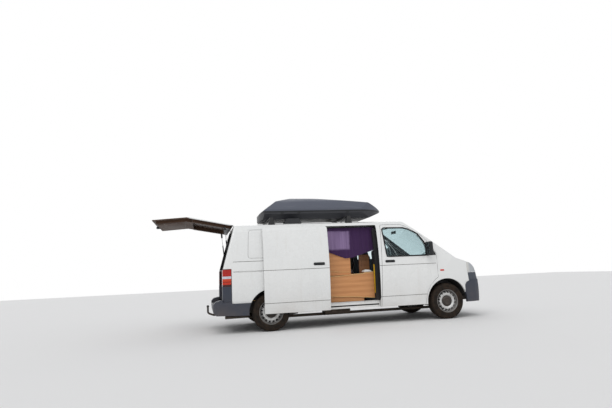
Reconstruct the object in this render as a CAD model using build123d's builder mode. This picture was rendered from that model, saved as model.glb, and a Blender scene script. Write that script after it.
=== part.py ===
from build123d import *
import math
import os

# Camper van: a long panel van with a sliding side door, a raised tailgate and a roof box.
# +X is forward, +Y the van's left, +Z up. The origin lies on the ground, under the middle of the box
# round the van as it stands. Side-view numbers are measured forward from the front axle.

# Driving sizes, millimetres
wheelbase = 3400.0
front_overhang = 900.0
tail_overhang = 855.0
body_width = 1904.0
roof_crown = 1965.0
sill_bottom = 300.0
floor_top = 425.0
belt_height = 1060.0
track = body_width - 276
tyre_radius = 336.0
tyre_width = 205.0
rim_radius = 216.0
mirror_span = body_width + 379

# Wall and gap sizes
wall = 52.0
skin = 16.0
door_depth = 62.0
roof_wall = 34.0
wing_wall = 40.0
bonnet_wall = 24.0
bumper_wall = 45.0
bumper_proud = 10.0
glass = 5.0
panel_gap = 7.0
inner_step = 22.0
rest_gap = 0.3
underside_reach = 60.0

# Places that follow from the driving sizes
half = body_width / 2
roof_split = roof_crown - 87
door_top = roof_crown - 130
tail_x = -(wheelbase + tail_overhang)
tail_top = (tail_x + 245, roof_crown - 59)
tail_belt = (tail_x + 15, belt_height + 25)
tail_low = (tail_x, sill_bottom)
slab_foot = sill_bottom - 200
wheel_y = track / 2
screen_top = (-740.0, roof_crown - 40)
screen_base = (130.0, belt_height + 230)
bonnet_rear = (60.0, belt_height + 245)
bonnet_tip = (front_overhang - 130, belt_height + 2)
nose_x = front_overhang - bumper_proud
nose_radius = 2150.0
bumper_top = 722.0

# Doors and their openings, side view
door_front = -178.0
door_rear_top = -1244.0
door_rear_low = -1335.0
slider_front = -1345.0
slider_width = wheelbase - 2190
slider_travel = slider_width - 230
slider_out = 75.0

# Gas struts of the tailgate, side view, and their distance from the middle
strut_base = (tail_x + 135, belt_height + 230)
strut_pin = (tail_x + 83, roof_crown - 160)
strut_line_y = 217 - half

# Tailgate
tail_open_angle = 85.5
tail_hinge = (tail_top[0] + 2, tail_top[1])
tail_half_top = half - 230
tail_half_belt = half - 170
tail_half_low = half - 230
tail_bottom = 492.0
tail_depth = 70.0
tail_step = 60.0

# The van's box runs from the front bumper to the lip of the raised tailgate
fold_angle = math.atan2(tail_belt[0] - tail_hinge[0], tail_hinge[1] - tail_belt[1])
upper_reach = math.hypot(tail_belt[0] - tail_hinge[0], tail_hinge[1] - tail_belt[1])
raised_fold = math.radians(tail_open_angle) - fold_angle
raised_low = math.radians(tail_open_angle)
tail_reach = upper_reach * math.sin(raised_fold) + (tail_belt[1] - tail_bottom) * math.sin(raised_low)
front_axle_x = (tail_reach - tail_hinge[0] - front_overhang) / 2


def side_plane(y=0.0):
    """Side view at a distance from the middle plane, seen from the van's right."""
    return Plane(origin=(front_axle_x, y, 0), x_dir=(1, 0, 0), z_dir=(0, -1, 0))


def cross_plane(x=0.0):
    return Plane(origin=(front_axle_x + x, 0, 0), x_dir=(0, 1, 0), z_dir=(1, 0, 0))


def floor_plane(z=0.0):
    return Plane(origin=(front_axle_x, 0, z), x_dir=(1, 0, 0), z_dir=(0, 0, 1))


def slope_plane(high, low):
    """Plane across a slope that runs down and forward; its own y points out of the slope."""
    run = Vector(low[0] - high[0], 0, low[1] - high[1]).normalized()
    return Plane(origin=(front_axle_x + high[0], 0, high[1]), x_dir=(0, 1, 0), z_dir=run)


def spot(x, y, z):
    return (front_axle_x + x, y, z)


def crossways(x, y, z, toward=(0, 1, 0)):
    """Plane at a point whose normal runs across the van."""
    return Plane(origin=spot(x, y, z), x_dir=(1, 0, 0), z_dir=toward)


# Body form: a side view, a cross section and a plan that cut one another

slope_half = half + 48


def crowned_slope(high, low, drop, inset):
    """Everything below a slope that is arched across the van."""
    with BuildPart() as body:
        with BuildSketch(slope_plane(high, low)):
            with BuildLine():
                arc = ThreePointArc((-slope_half, -drop - inset), (0, -inset), (slope_half, -drop - inset))
                Polyline(arc @ 1, (slope_half, -4000), (-slope_half, -4000), arc @ 0)
            make_face()
        extrude(amount=3000, both=True)
    return body.part


def section_form(inset):
    foot = sill_bottom - (underside_reach if inset > 0 else 0)
    with BuildPart() as body:
        with BuildSketch(cross_plane()):
            with BuildLine():
                low = Line((0, foot), (half - 32 - inset, foot))
                side = ThreePointArc(low @ 1, (half - 8 - inset, 580), (half - inset, 880))
                rise = (half - 102 - inset, roof_crown - 195)
                upper = ThreePointArc(side @ 1, (half - 24 - inset, roof_crown - 645), rise)
                shoulder = Line(upper @ 1, (half - 177 - inset * 0.6, roof_crown - 72 - inset))
                ThreePointArc(shoulder @ 1, (400, roof_crown - 18 - inset), (0, roof_crown - inset))
                mirror(about=Plane.YZ)
            make_face()
        extrude(amount=6500, both=True)
    return body.part


def plan_form(inset):
    edge = half - inset
    with BuildPart() as body:
        with BuildSketch(floor_plane()):
            with BuildLine():
                side = Line((tail_x - 400, edge), (-200, edge))
                wing_end = (nose_x - 260 - inset * 0.3, edge - 98)
                wing = ThreePointArc(side @ 1, (nose_x - 630, edge - 22), wing_end)
                corner_mid = (nose_x - 130 - inset * 0.7, half - 185 - inset * 0.7)
                corner = ThreePointArc(wing @ 1, corner_mid, (nose_x - 50 - inset, 560 - inset * 0.4))
                Polyline(corner @ 1, (nose_x + 300, 560 - inset * 0.4), (nose_x + 300, 0))
                mirror(about=Plane.XZ)
                Line((tail_x - 400, edge), (tail_x - 400, -edge))
            make_face()
        extrude(amount=roof_crown + 400)
    return body.part


def cabin_slab(inset):
    """Side view of cab and load space, wider than the van, under its arched windscreen."""
    with BuildPart() as cabin:
        with BuildSketch(side_plane()):
            with BuildLine():
                low = Line((tail_low[0], slab_foot), (400, slab_foot))
                up = Line(low @ 1, (400, screen_top[1]))
                head = Line(up @ 1, screen_top)
                roof = ThreePointArc(head @ 1, (-2500, roof_crown), tail_top)
                Polyline(roof @ 1, tail_belt, (tail_low[0], slab_foot))
            make_face()
            if inset:
                offset(amount=-inset, kind=Kind.INTERSECTION)
        extrude(amount=1200, both=True)
        screen_drop = 4
        add(crowned_slope((screen_top[0], screen_top[1] - screen_drop),
                          (screen_base[0], screen_base[1] - screen_drop), 60, inset), mode=Mode.INTERSECT)
    return cabin.part


def nose_slab(inset):
    """Bow-shaped front end, turned about an upright axis and cut by the arched bonnet."""
    slope = math.atan2(bonnet_rear[1] - bonnet_tip[1], bonnet_tip[0] - bonnet_rear[0])
    face_x = nose_x - inset
    lip_x = nose_x - 150
    lip_z = bonnet_tip[1] - 12 - inset
    back_x = nose_x - nose_radius
    with BuildPart() as nose:
        with BuildSketch(side_plane()):
            with BuildLine():
                low = ThreePointArc((face_x - 60, slab_foot), (face_x, 560), (face_x - 45, lip_z - 150 + inset))
                lip = TangentArc(low @ 1, (lip_x, lip_z), tangent=low % 1)
                ridge = (lip_x - 900, lip_z + 900 * math.tan(slope + 0.06))
                Polyline(lip @ 1, ridge, (back_x, ridge[1]), (back_x, slab_foot), low @ 0)
            make_face()
        revolve(axis=Axis(spot(back_x, 0, 0), (0, 0, 1)))
        with BuildSketch(side_plane()):
            with Locations((nose_x - 690, 900)):
                Rectangle(1400, 1700)
        extrude(amount=1100, both=True, mode=Mode.INTERSECT)
        add(crowned_slope(bonnet_rear, bonnet_tip, 90, inset), mode=Mode.INTERSECT)
    return nose.part


def body_form(inset=0.0):
    """The van's closed outer form, drawn in by a distance from its outer faces."""
    with BuildPart() as form:
        add(cabin_slab(inset))
        add(nose_slab(inset))
        add(section_form(inset), mode=Mode.INTERSECT)
        add(plan_form(inset), mode=Mode.INTERSECT)
    return form.part


def joined(*solids):
    with BuildPart() as whole:
        for solid in solids:
            add(solid)
    return whole.part


def side_slab(outline, near, far):
    """A side-view outline made solid between two distances from the middle plane, minus is right."""
    with BuildPart() as slab:
        with BuildSketch(side_plane(near)):
            add(outline)
        extrude(amount=near - far)
    return slab.part


def polygon(*points):
    with BuildSketch(Plane.XY) as shape:
        with BuildLine():
            Polyline(*points, close=True)
        make_face()
    return shape.sketch


def grown(shape, amount):
    with BuildSketch(Plane.XY) as bigger:
        add(shape)
        offset(amount=amount, kind=Kind.INTERSECTION)
    return bigger.sketch


def block(x0, x1, y0, y1, z0, z1):
    """A box between two corners, its x measured from the front axle."""
    with BuildPart() as box:
        with Locations(spot((x0 + x1) / 2, (y0 + y1) / 2, (z0 + z1) / 2)):
            Box(abs(x1 - x0), abs(y1 - y0), abs(z1 - z0))
    return box.part


def cross_slab(outline, x0, x1):
    """A cross-section outline (y, z) made solid between two places along the van."""
    with BuildPart() as slab:
        with BuildSketch(cross_plane(x0)):
            add(outline)
        extrude(amount=x1 - x0)
    return slab.part


def mirrored(solid):
    with BuildPart() as other:
        add(solid, mode=Mode.PRIVATE)
        mirror(solid, about=Plane.XZ)
    return other.part


def cut_from(solid, *cuts):
    with BuildPart() as rest:
        add(solid)
        for cut in cuts:
            add(cut, mode=Mode.SUBTRACT)
    return rest.part


def within(solid, *regions):
    with BuildPart() as rest:
        add(solid)
        for region in regions:
            add(region, mode=Mode.INTERSECT)
    return rest.part


def save(solid, name):
    solid.label = name
    export_step(solid, "parts/" + name + ".step")
    print(name, len(solid.solids()), round(solid.volume / 1e6, 2))


def cylinder_across(x, z, y0, y1, radius):
    """A round bar across the van."""
    with BuildPart() as bar:
        with BuildSketch(side_plane(y0)):
            with Locations((x, z)):
                Circle(radius)
        extrude(amount=y0 - y1)
    return bar.part


os.makedirs("parts", exist_ok=True)

# Body forms at the depths that the panels need
outer = body_form()
with BuildPart() as eased:
    add(outer)
    long_edges = eased.edges().filter_by(lambda e: e.length > 100 and e.center().Z > sill_bottom + 10)
    at_tail = long_edges.filter_by(lambda e: e.center().X < spot(tail_belt[0] + 230, 0, 0)[0])
    fillet(at_tail.filter_by(lambda e: abs(e.center().Y) > 700), radius=40)
outer = eased.part
under_glass = body_form(glass)
under_skin = body_form(skin)
under_bonnet = body_form(bonnet_wall)
under_roof = body_form(roof_wall)
under_wing = body_form(wing_wall)
under_wall = body_form(wall)
under_door = body_form(door_depth)

# Outlines in side view
arch_front_radius = 415.0
arch_rear_radius = 395.0
arch_rise = 350.0
rear_axle = -wheelbase

with BuildSketch(Plane.XY) as door_shape:
    with BuildLine():
        rear = Polyline((-449, sill_bottom + 4), (door_rear_low, sill_bottom + 4),
                        (door_rear_low + 45, belt_height), (door_rear_top, door_top - 30),
                        (door_rear_top + 25, door_top), (-830, door_top))
        front = Polyline(rear @ 1, (-760, door_top - 30), (-430, door_top - 232), (-290, door_top - 402),
                         (door_front, belt_height + 190), (door_front, 800))
        ThreePointArc(front @ 1, (-356, 630), rear @ 0)
    make_face()
door_outline = door_shape.sketch

with BuildSketch(Plane.XY) as window_shape:
    with BuildLine():
        low = Polyline((-360, belt_height + 175), (-1170, belt_height + 178), (-1208, door_top - 90),
                       (-1180, door_top - 72), (-790, door_top - 78))
        ThreePointArc(low @ 1, (-520, door_top - 200), (-360, belt_height + 240))
        Line((-360, belt_height + 240), low @ 0)
    make_face()
window_outline = window_shape.sketch

slider_rear = slider_front - slider_width
with BuildSketch(Plane.XY) as slider_shape:
    with BuildLine():
        Polyline((slider_front - 6, sill_bottom + 4), (slider_rear, sill_bottom + 4),
                 (slider_rear + 8, door_top + 4), (slider_front + 14, door_top + 4), close=True)
    make_face()
    fillet(slider_shape.vertices().group_by(Axis.Y)[-1], radius=40)
slider_outline = slider_shape.sketch


joined_outline = polygon((slider_front - 6, sill_bottom - 20), (slider_rear, sill_bottom - 20),
                         (slider_rear + 8, door_top + 4), (slider_front + 14, door_top + 4))


def side_window_shape(x0, x1, z0, z1, radius):
    with BuildSketch(Plane.XY) as shape:
        with Locations(((x0 + x1) / 2, (z0 + z1) / 2)):
            RectangleRounded(abs(x1 - x0), z1 - z0, radius)
    return shape.sketch


left_window = side_window_shape(slider_front - slider_width + 105, slider_front - 25, roof_crown - 565, roof_crown - 175, 60)

# Pressed lines on the right side: belt groove, sill crease and the blank window panel of the rear quarter
groove_depth = 3.0
groove_width = 9.0
quarter_edge = tail_x + 172
belt_groove_z = belt_height + 2
sill_groove_z = sill_bottom + 190
quarter_groove_z = belt_height + 177
groove_skin = cut_from(outer, body_form(groove_depth))


def groove(x0, x1, z):
    return within(groove_skin, block(x0, x1, -1300, -700, z - groove_width / 2, z + groove_width / 2))


side_grooves = joined(groove(quarter_edge + 30, door_front - 20, belt_groove_z),
                      groove(rear_axle + arch_rear_radius + 30, door_front - 20, sill_groove_z))
quarter_groove = groove(quarter_edge + 30, slider_rear - 30, quarter_groove_z)
pressing = side_window_shape(tail_x + 465, slider_rear - 145, belt_height + 230, roof_crown - 152, 60)
quarter_pressing = within(groove_skin, side_slab(pressing, -700, -1300))

# Right side, cut from the body form; the left side is its mirror image with a window for the sliding door
front_arch = cylinder_across(0, arch_rise, -300, -1300, arch_front_radius)
rear_arch = cylinder_across(rear_axle, arch_rise - 5, -300, -1300, arch_rear_radius)
door_hole = side_slab(grown(door_outline, panel_gap), -300, -1300)
slider_hole = side_slab(joined_outline, -300, -1300)

screen_half_top = 742.0
screen_half_low = 838.0
screen_low = belt_height + 196
with BuildSketch(Plane.XY) as screen_shape:
    with BuildLine():
        Polyline((-screen_half_low, screen_low), (screen_half_low, screen_low),
                 (screen_half_top, roof_split - 5), (-screen_half_top, roof_split - 5), close=True)
    make_face()
screen_outline = screen_shape.sketch

lamp_half = tail_half_low + panel_gap
with BuildSketch(Plane.XY) as tail_shape:
    with BuildLine():
        Polyline((tail_half_low, tail_bottom), (tail_half_low, tail_belt[1] + 34),
                 (tail_half_belt, tail_belt[1] + 46), (tail_half_top, tail_hinge[1] + 60),
                 (-tail_half_top, tail_hinge[1] + 60), (-tail_half_belt, tail_belt[1] + 46),
                 (-tail_half_low, tail_belt[1] + 34), (-tail_half_low, tail_bottom), close=True)
    make_face()
tail_outline = tail_shape.sketch

wall_shell = cut_from(outer, under_wall)
lamp_top = 1112.0
lamp_outline = polygon((tail_x - 60, 815), (tail_x - 60, lamp_top), (quarter_edge - 5, lamp_top),
                       (quarter_edge - 12, 815))
pillar_foot = belt_height + 180
bumper_front_x = rear_axle - 352
bumper_side_top = 517.0
side_region = side_slab(polygon((bumper_front_x + rest_gap, sill_bottom - 5),
                                (bumper_front_x + rest_gap, bumper_side_top + rest_gap),
                                (quarter_edge, bumper_side_top + rest_gap), (quarter_edge, lamp_top + 6),
                                (tail_x - 60, lamp_top + 6), (tail_x - 60, roof_split), (300, roof_split),
                                (300, pillar_foot), (-174, pillar_foot), (-174, 800), (-700, 800),
                                (-700, sill_bottom - 5)),
                        -600, -1300)
screen_hole = cross_slab(grown(screen_outline, rest_gap), -900, 400)
tail_cut_z = tail_hinge[1] - 66
tail_edge_x = tail_hinge[0] - 5
tail_hole_side = polygon((tail_x - 300, tail_bottom - 12), (tail_x - 300, tail_hinge[1] + 60),
                         (tail_edge_x + panel_gap, tail_hinge[1] + 60),
                         (tail_edge_x + panel_gap, tail_cut_z + panel_gap),
                         (tail_hinge[0] + 260, tail_cut_z + panel_gap), (tail_hinge[0] + 260, tail_bottom - 12))
tail_hole = within(cross_slab(grown(tail_outline, panel_gap), tail_x - 200, tail_top[0] + 300),
                   side_slab(tail_hole_side, 1300, -1300))
scuttle_half = half - 140
scuttle_hole = block(30, 420, -scuttle_half - rest_gap, scuttle_half + rest_gap, belt_height + 60, screen_low)
post_region = block(tail_x - 60, quarter_edge + 50, -1300, -lamp_half, sill_bottom + 130, lamp_top + 40)
tail_post = within(cut_from(under_wall, body_form(wall + 36)), post_region)
inner_pillar = within(cut_from(body_form(door_depth + 8), body_form(door_depth + 44)),
                      side_slab(polygon((-1418, floor_top), (-1268, floor_top), (-1240, roof_split - 120),
                                        (-1393, roof_split - 120)), -500, -1300))
pillar_web = within(cut_from(outer, body_form(door_depth + 44)),
                    side_slab(polygon((-1420, floor_top), (-1240, floor_top), (-1200, roof_split - 20),
                                      (-1400, roof_split - 20)), -500, -1300))
pillar_web = cut_from(pillar_web, door_hole, slider_hole)
bare_side = within(wall_shell, side_region)
mid_rail = block(rear_axle - 560, slider_rear - 10, -1300, -half + 26, belt_height - 12, belt_height + 12)
strut_bracket = block(strut_base[0] - 22, strut_base[0] + 14, -half + 130, strut_line_y - 21, strut_base[1] - 18,
                      strut_base[1] + 18)
strut_stud = cylinder_across(strut_base[0], strut_base[1], strut_line_y + 6, strut_line_y - 30, 5)
strut_bracket = within(strut_bracket, under_skin)
posts = joined(tail_post, strut_bracket, strut_stud)
bare_side = cut_from(bare_side, side_grooves, quarter_groove, quarter_pressing)
right_side = cut_from(bare_side, door_hole, slider_hole, rear_arch, front_arch, screen_hole, tail_hole,
                      scuttle_hole, mid_rail)
curtain_y = 240 - half
curtain_rear = slider_rear + 55
curtain_front = -1262.0
curtain_top = roof_crown - 157
curtain_rail = [block(curtain_rear, -1260, curtain_y - 10, curtain_y + 10, curtain_top, curtain_top + 14)]
curtain_rail += [block(x, x + 16, curtain_y - 10, curtain_y + 10, curtain_top, roof_split - 14)
                 for x in (curtain_rear + 10, (curtain_rear + curtain_front) / 2, curtain_front - 18)]
right_side = joined(right_side, posts, inner_pillar, pillar_web, *curtain_rail)
left_side = cut_from(bare_side, door_hole, side_slab(left_window, -300, -1300), rear_arch, front_arch,
                     screen_hole, tail_hole, scuttle_hole)
left_side = mirrored(joined(left_side, posts))
save(right_side, "side_frame_right")
save(left_side, "side_frame_left")

# Roof, front wings, bonnet and fixed glass
roof_region = block(-4600, 300, -1300, 1300, roof_split, roof_crown + 200)
roof_panel = within(cut_from(outer, under_roof), roof_region)
ditch_y = half - 186
ditch = within(cut_from(outer, body_form(8)), block(-3950, -770, -ditch_y - 7, -ditch_y + 7, roof_split, roof_crown))
roof_panel = cut_from(roof_panel, tail_hole, ditch, mirrored(ditch))
tail_pins = [cylinder_across(tail_hinge[0], tail_hinge[1], y + 35, y - 35, 5 - rest_gap) for y in (-500, 500)]
roof_panel = joined(roof_panel, *tail_pins)
save(roof_panel, "roof_panel")

bonnet_rear_x = 246.0
lamp_front_outline = polygon((469, belt_height - 11), (475, 865), (nose_x + 60, 850), (nose_x + 60, 1010),
                             (633, belt_height + 8))
lamp_front_half = 500.0
bonnet_lip = belt_height - 122


def bonnet_prism(grow):
    """Everything over the bonnet's shut lines, with those lines moved outwards."""
    with BuildPart() as prism:
        with BuildSketch(floor_plane(bonnet_lip - grow)):
            with BuildLine():
                Polyline((nose_x + 60, 0), (nose_x + 60, lamp_front_half), (nose_x - 150, 640),
                         (nose_x - 260, 752), (bonnet_rear_x + 40, half - 92),
                         (bonnet_rear_x, half - 132), (bonnet_rear_x, 0))
                mirror(about=Plane.XZ)
            make_face()
            if grow:
                offset(amount=grow, kind=Kind.INTERSECTION)
        extrude(amount=500)
    return prism.part


front_lamp_region = side_slab(lamp_front_outline, -lamp_front_half, -1300)
front_lamp_hole = side_slab(grown(lamp_front_outline, panel_gap), -lamp_front_half + panel_gap, -1300)
front_lamp_holes = joined(front_lamp_hole, mirrored(front_lamp_hole))
bonnet_shell = cut_from(outer, under_bonnet)
bonnet = cut_from(within(bonnet_shell, bonnet_prism(0)), front_lamp_holes)
save(bonnet, "bonnet")

wing_foot = sill_bottom - 5
wing_region = side_slab(polygon((-700, wing_foot), (nose_x + 60, wing_foot),
                                (nose_x + 60, pillar_foot - rest_gap), (-171, pillar_foot - rest_gap),
                                (-171, 800), (-700, 800)),
                        -600, -1300)
bumper_line = polygon((380, sill_bottom - 20), (404, 632), (434, 675), (560, bumper_top),
                      (nose_x + 80, bumper_top), (nose_x + 80, sill_bottom - 20))
bumper_region = side_slab(bumper_line, 1300, -1300)
bumper_hole = side_slab(grown(bumper_line, rest_gap), 1300, -1300)
wing_right = within(cut_from(outer, under_wing), wing_region)
lamp_seat = side_slab(grown(lamp_front_outline, 2), -lamp_front_half, -1300)
wing_right = cut_from(wing_right, front_arch, door_hole, bonnet_prism(panel_gap), lamp_seat, bumper_hole,
                      scuttle_hole)
hinge_leaves = [block(door_front + rest_gap, door_front + panel_gap + 6, -half + 6, -half + 18, z, z + 60)
                for z in (850, 1090)]
wing_right = joined(wing_right, *hinge_leaves)
save(joined(wing_right, mirrored(wing_right)), "front_wings")

scuttle_region = side_slab(polygon((40, belt_height + 100), (bonnet_rear_x - panel_gap, belt_height + 100),
                                   (bonnet_rear_x - panel_gap, belt_height + 300), (40, screen_low - 5)),
                           scuttle_half, -scuttle_half)
scuttle = within(bonnet_shell, scuttle_region)
save(cut_from(scuttle, screen_hole), "scuttle")
front_bumper = within(cut_from(body_form(-bumper_proud), body_form(bumper_wall)), bumper_region)
save(cut_from(front_bumper, front_arch, mirrored(front_arch)), "front_bumper")

# Fixed glass: windscreen and the left side window, seated in their openings
glass_shell = cut_from(outer, under_glass)
windscreen = within(glass_shell, cross_slab(screen_outline, -900, 400))
pane_left = mirrored(within(glass_shell, side_slab(grown(left_window, -rest_gap), -300, -1300)))
save(joined(windscreen, pane_left), "fixed_glass")

# Front doors: a full-size outer skin over a smaller inner box, so the rear edge clears the pillar
door_skin = within(cut_from(outer, under_skin), side_slab(door_outline, -600, -1300))
door_box = within(cut_from(under_skin, under_door), side_slab(grown(door_outline, -inner_step), -600, -1300))
window_hole = side_slab(window_outline, -600, -1300)
handle_cup = side_slab(side_window_shape(-1223, -1029, 1112, 1160, 20), -half + 22, -1300)
door_right = cut_from(joined(door_skin, door_box), window_hole, handle_cup)
grip_y = -half + 8


def grip(x0, x1, z, y):
    """Pull handle: a flat bar that stands off its cup on two feet."""
    with BuildPart() as bar:
        with BuildSketch(crossways(x0, y - 12, z)):
            with Locations(((x1 - x0) / 2, 0)):
                RectangleRounded(x1 - x0, 24, 10)
        extrude(amount=10)
        with BuildSketch(crossways(x0, y - 4, z)):
            with Locations((12, 0), (x1 - x0 - 12, 0)):
                Rectangle(20, 18)
        extrude(amount=34)
    return bar.part


door_right = joined(cut_from(door_right, side_grooves), grip(-1219, -1033, 1136, grip_y - 2))
save(door_right, "door_right")
save(mirrored(door_right), "door_left")
door_pane = within(cut_from(body_form(skin + 10), body_form(skin + 10 + glass)),
                   side_slab(grown(window_outline, -rest_gap), -600, -1300))
save(door_pane, "door_glass_right")
save(mirrored(door_pane), "door_glass_left")

# Mirrors: a rounded shell on a foot at the window's front corner
mirror_reach = mirror_span / 2
with BuildPart() as mirror_shell:
    with BuildSketch(crossways(-358, -mirror_reach, belt_height + 283, (0, 1, 0))):
        RectangleRounded(78, 266, 34)
    extrude(amount=204)
    fillet(mirror_shell.edges().filter_by(lambda e: e.center().Y < -mirror_reach + 1), radius=26)
mirror_foot = block(-372, -318, -mirror_reach + 180, -half + 26, belt_height + 160, belt_height + 212)
mirror_right = cut_from(joined(mirror_shell.part, mirror_foot), door_right,
                        block(-410, -389, -mirror_reach + 14, -mirror_reach + 190, belt_height + 166,
                              belt_height + 400))
save(mirror_right, "mirror_right")
save(mirrored(mirror_right), "mirror_left")

# Sliding door: made shut, then set back along its rail and out from the side
slider_skin = within(cut_from(outer, under_skin), side_slab(grown(slider_outline, -panel_gap), -600, -1300))
slider_box = within(cut_from(under_skin, under_door), side_slab(grown(slider_outline, -inner_step), -600, -1300))
slider_cup = side_slab(side_window_shape(slider_front - 296, slider_front - 86, 1118, 1168, 20), -half + 22, -1300)
slider = cut_from(joined(slider_skin, slider_box), slider_cup, side_grooves)
slider = joined(slider, grip(slider_front - 292, slider_front - 90, 1143, grip_y - 2))
centre_arm = block(slider_rear + 20, slider_rear + 70, -half + 101 - rest_gap, -half + door_depth - 4,
                   belt_height - 9, belt_height + 9)
low_arm = block(slider_front - 90, slider_front - 50, -half + door_depth + 18, -half + 215, 349, 361)
top_arm = joined(block(slider_front - 110, slider_front - 70, -half + 180, -half + 262, door_top - 26, door_top - 16),
                 block(slider_front - 104, slider_front - 76, -half + 240, -half + 262, door_top - 26,
                       door_top + 4 - rest_gap))
slider = joined(slider, centre_arm, low_arm, top_arm).moved(Location((-slider_travel, -slider_out, 0)))
save(slider, "sliding_door")

# Tailgate, made shut and then raised about its hinge
tail_side = polygon((tail_x - 300, tail_bottom), (tail_x - 300, tail_hinge[1] + 10),
                    (tail_edge_x, tail_hinge[1] + 10), (tail_edge_x, tail_cut_z),
                    (tail_hinge[0] + 260, tail_cut_z), (tail_hinge[0] + 260, tail_bottom))
tail_zone = side_slab(tail_side, 1300, -1300)
under_tail = body_form(tail_depth)
tail_skin = cut_from(within(outer, tail_zone, cross_slab(tail_outline, tail_x - 200, tail_top[0] + 300)), under_skin)
tail_box = within(cut_from(under_skin, under_tail),
                  cross_slab(grown(tail_outline, -tail_step), tail_x - 200, tail_top[0] + 300), tail_zone)
tail_window_low = tail_belt[1] + 95
with BuildSketch(Plane.XY) as rear_window_shape:
    with Locations((0, (tail_window_low + tail_hinge[1] - 130) / 2)):
        RectangleRounded(1180, tail_hinge[1] - 130 - tail_window_low, 70)
rear_window = rear_window_shape.sketch
tail_window_hole = cross_slab(rear_window, tail_x - 200, tail_top[0] + 200)
tail_axis = Axis(spot(tail_hinge[0], 0, tail_hinge[1]), (0, 1, 0))
shut_pin = Vector(strut_pin[0], 0, strut_pin[1]) - Vector(tail_hinge[0], 0, tail_hinge[1])
shut_pin = shut_pin.rotate(Axis.Y, -tail_open_angle) + Vector(tail_hinge[0], 0, tail_hinge[1])
pin_bracket = block(shut_pin.X - 75, shut_pin.X + 14, strut_line_y + 6 + rest_gap, strut_line_y + 60,
                    shut_pin.Z - 16, shut_pin.Z + 16)
pin_bracket = within(pin_bracket, under_skin)
tail_shut = cut_from(joined(tail_skin, tail_box), tail_window_hole)
tail_shut = joined(tail_shut, pin_bracket, mirrored(pin_bracket))
tailgate = tail_shut.rotate(tail_axis, tail_open_angle)
save(tailgate, "tailgate")
tail_pane = within(glass_shell, cross_slab(grown(rear_window, -rest_gap), tail_x - 200, tail_top[0] + 200))
tail_pane = within(tail_pane, tail_zone)
save(tail_pane.rotate(tail_axis, tail_open_angle), "tailgate_glass")

# Lamps: front lamps fill the wing corners, tail lamps wrap the rear corners
headlamp = within(cut_from(outer, under_door), front_lamp_region)
headlamp = cut_from(headlamp, bonnet_prism(panel_gap))
save(joined(headlamp, mirrored(headlamp)), "headlamps")
tail_lamp = within(wall_shell, side_slab(lamp_outline, -lamp_half, -1300))
save(joined(tail_lamp, mirrored(tail_lamp)), "tail_lamps")

# Grille between bonnet and bumper
with BuildSketch(Plane.XY) as grille_shape:
    with BuildLine():
        Polyline((-594, bumper_top + rest_gap), (594, bumper_top + rest_gap), (594, 841), (492, 852),
                 (492, bonnet_lip - panel_gap), (-492, bonnet_lip - panel_gap), (-492, 852), (-594, 841), close=True)
    make_face()
with BuildSketch(Plane.XY) as grille_slots:
    with GridLocations(0, 44, 1, 3):
        with Locations((0, 828)):
            RectangleRounded(820, 26, 10)
grille = within(bonnet_shell, cross_slab(grille_shape.sketch, 500, nose_x + 60))
grille = cut_from(grille, cross_slab(grille_slots.sketch, 500, nose_x + 60))
save(grille, "grille")

# Rear bumper with the corner pieces that reach up to the tail lamps
bumper_rear_x = tail_x - 156
bumper_half = half + bumper_proud
with BuildPart() as rear_bumper_body:
    with BuildSketch(floor_plane(sill_bottom - 8)):
        with Locations((bumper_rear_x + 500, 0)):
            RectangleRounded(1000, 2 * bumper_half, 120)
    extrude(amount=600)
    with BuildSketch(floor_plane(sill_bottom - 8)):
        with Locations((bumper_rear_x + bumper_wall + 500, 0)):
            RectangleRounded(1000, 2 * (bumper_half - bumper_wall), 80)
    extrude(amount=170, mode=Mode.SUBTRACT)
    with BuildSketch(floor_plane(sill_bottom - 8)):
        with Locations((tail_x - 8 + 500, 0)):
            Rectangle(1000, 2 * (bumper_half - bumper_wall))
    extrude(amount=700, mode=Mode.SUBTRACT)
bumper_side = polygon((bumper_front_x, 302), (tail_x - 100, 322), (tail_x - 150, 366), (bumper_rear_x - 5, 507),
                      (tail_x - 110, 560), (tail_x - 33, 580), (tail_x + 4, 580), (tail_x + 20, 545),
                      (quarter_edge - rest_gap, 545), (quarter_edge - rest_gap, bumper_side_top),
                      (bumper_front_x, bumper_side_top))
rear_bumper = within(rear_bumper_body.part, side_slab(bumper_side, 1300, -1300))
tail_path = block(tail_x - 300, tail_x + 300, -lamp_half, lamp_half, tail_bottom - 12, 700)
corner_trim = within(wall_shell, side_slab(polygon((tail_x - 60, 545), (tail_x - 60, 814.7), (quarter_edge - 3, 814.7),
                                                   (quarter_edge - 3, 545)), -lamp_half, -1300))
rear_bumper = joined(cut_from(rear_bumper, tail_path, rear_arch, mirrored(rear_arch)), corner_trim,
                     mirrored(corner_trim))
save(rear_bumper, "rear_bumper")

# Floor: sheet, sills, rails, wheel housings, rear sill
floor_half = half - 32 - door_depth - 8
floor_rear = tail_x + tail_depth + 12
floor_front = -60.0
sheet = 14.0
housing_gap = 14.0


def housing(x, radius, z, inner_y, outer_y):
    """Half-round cover over one right wheel, closed on its inner side."""
    with BuildPart() as cover:
        add(cylinder_across(x, z, -inner_y, -outer_y, radius + sheet))
        add(cylinder_across(x, z, -inner_y - sheet, -outer_y, radius), mode=Mode.SUBTRACT)
        add(block(x - 700, x + 700, -outer_y, -inner_y, floor_top - 700, floor_top - sheet), mode=Mode.SUBTRACT)
    return cover.part


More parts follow.
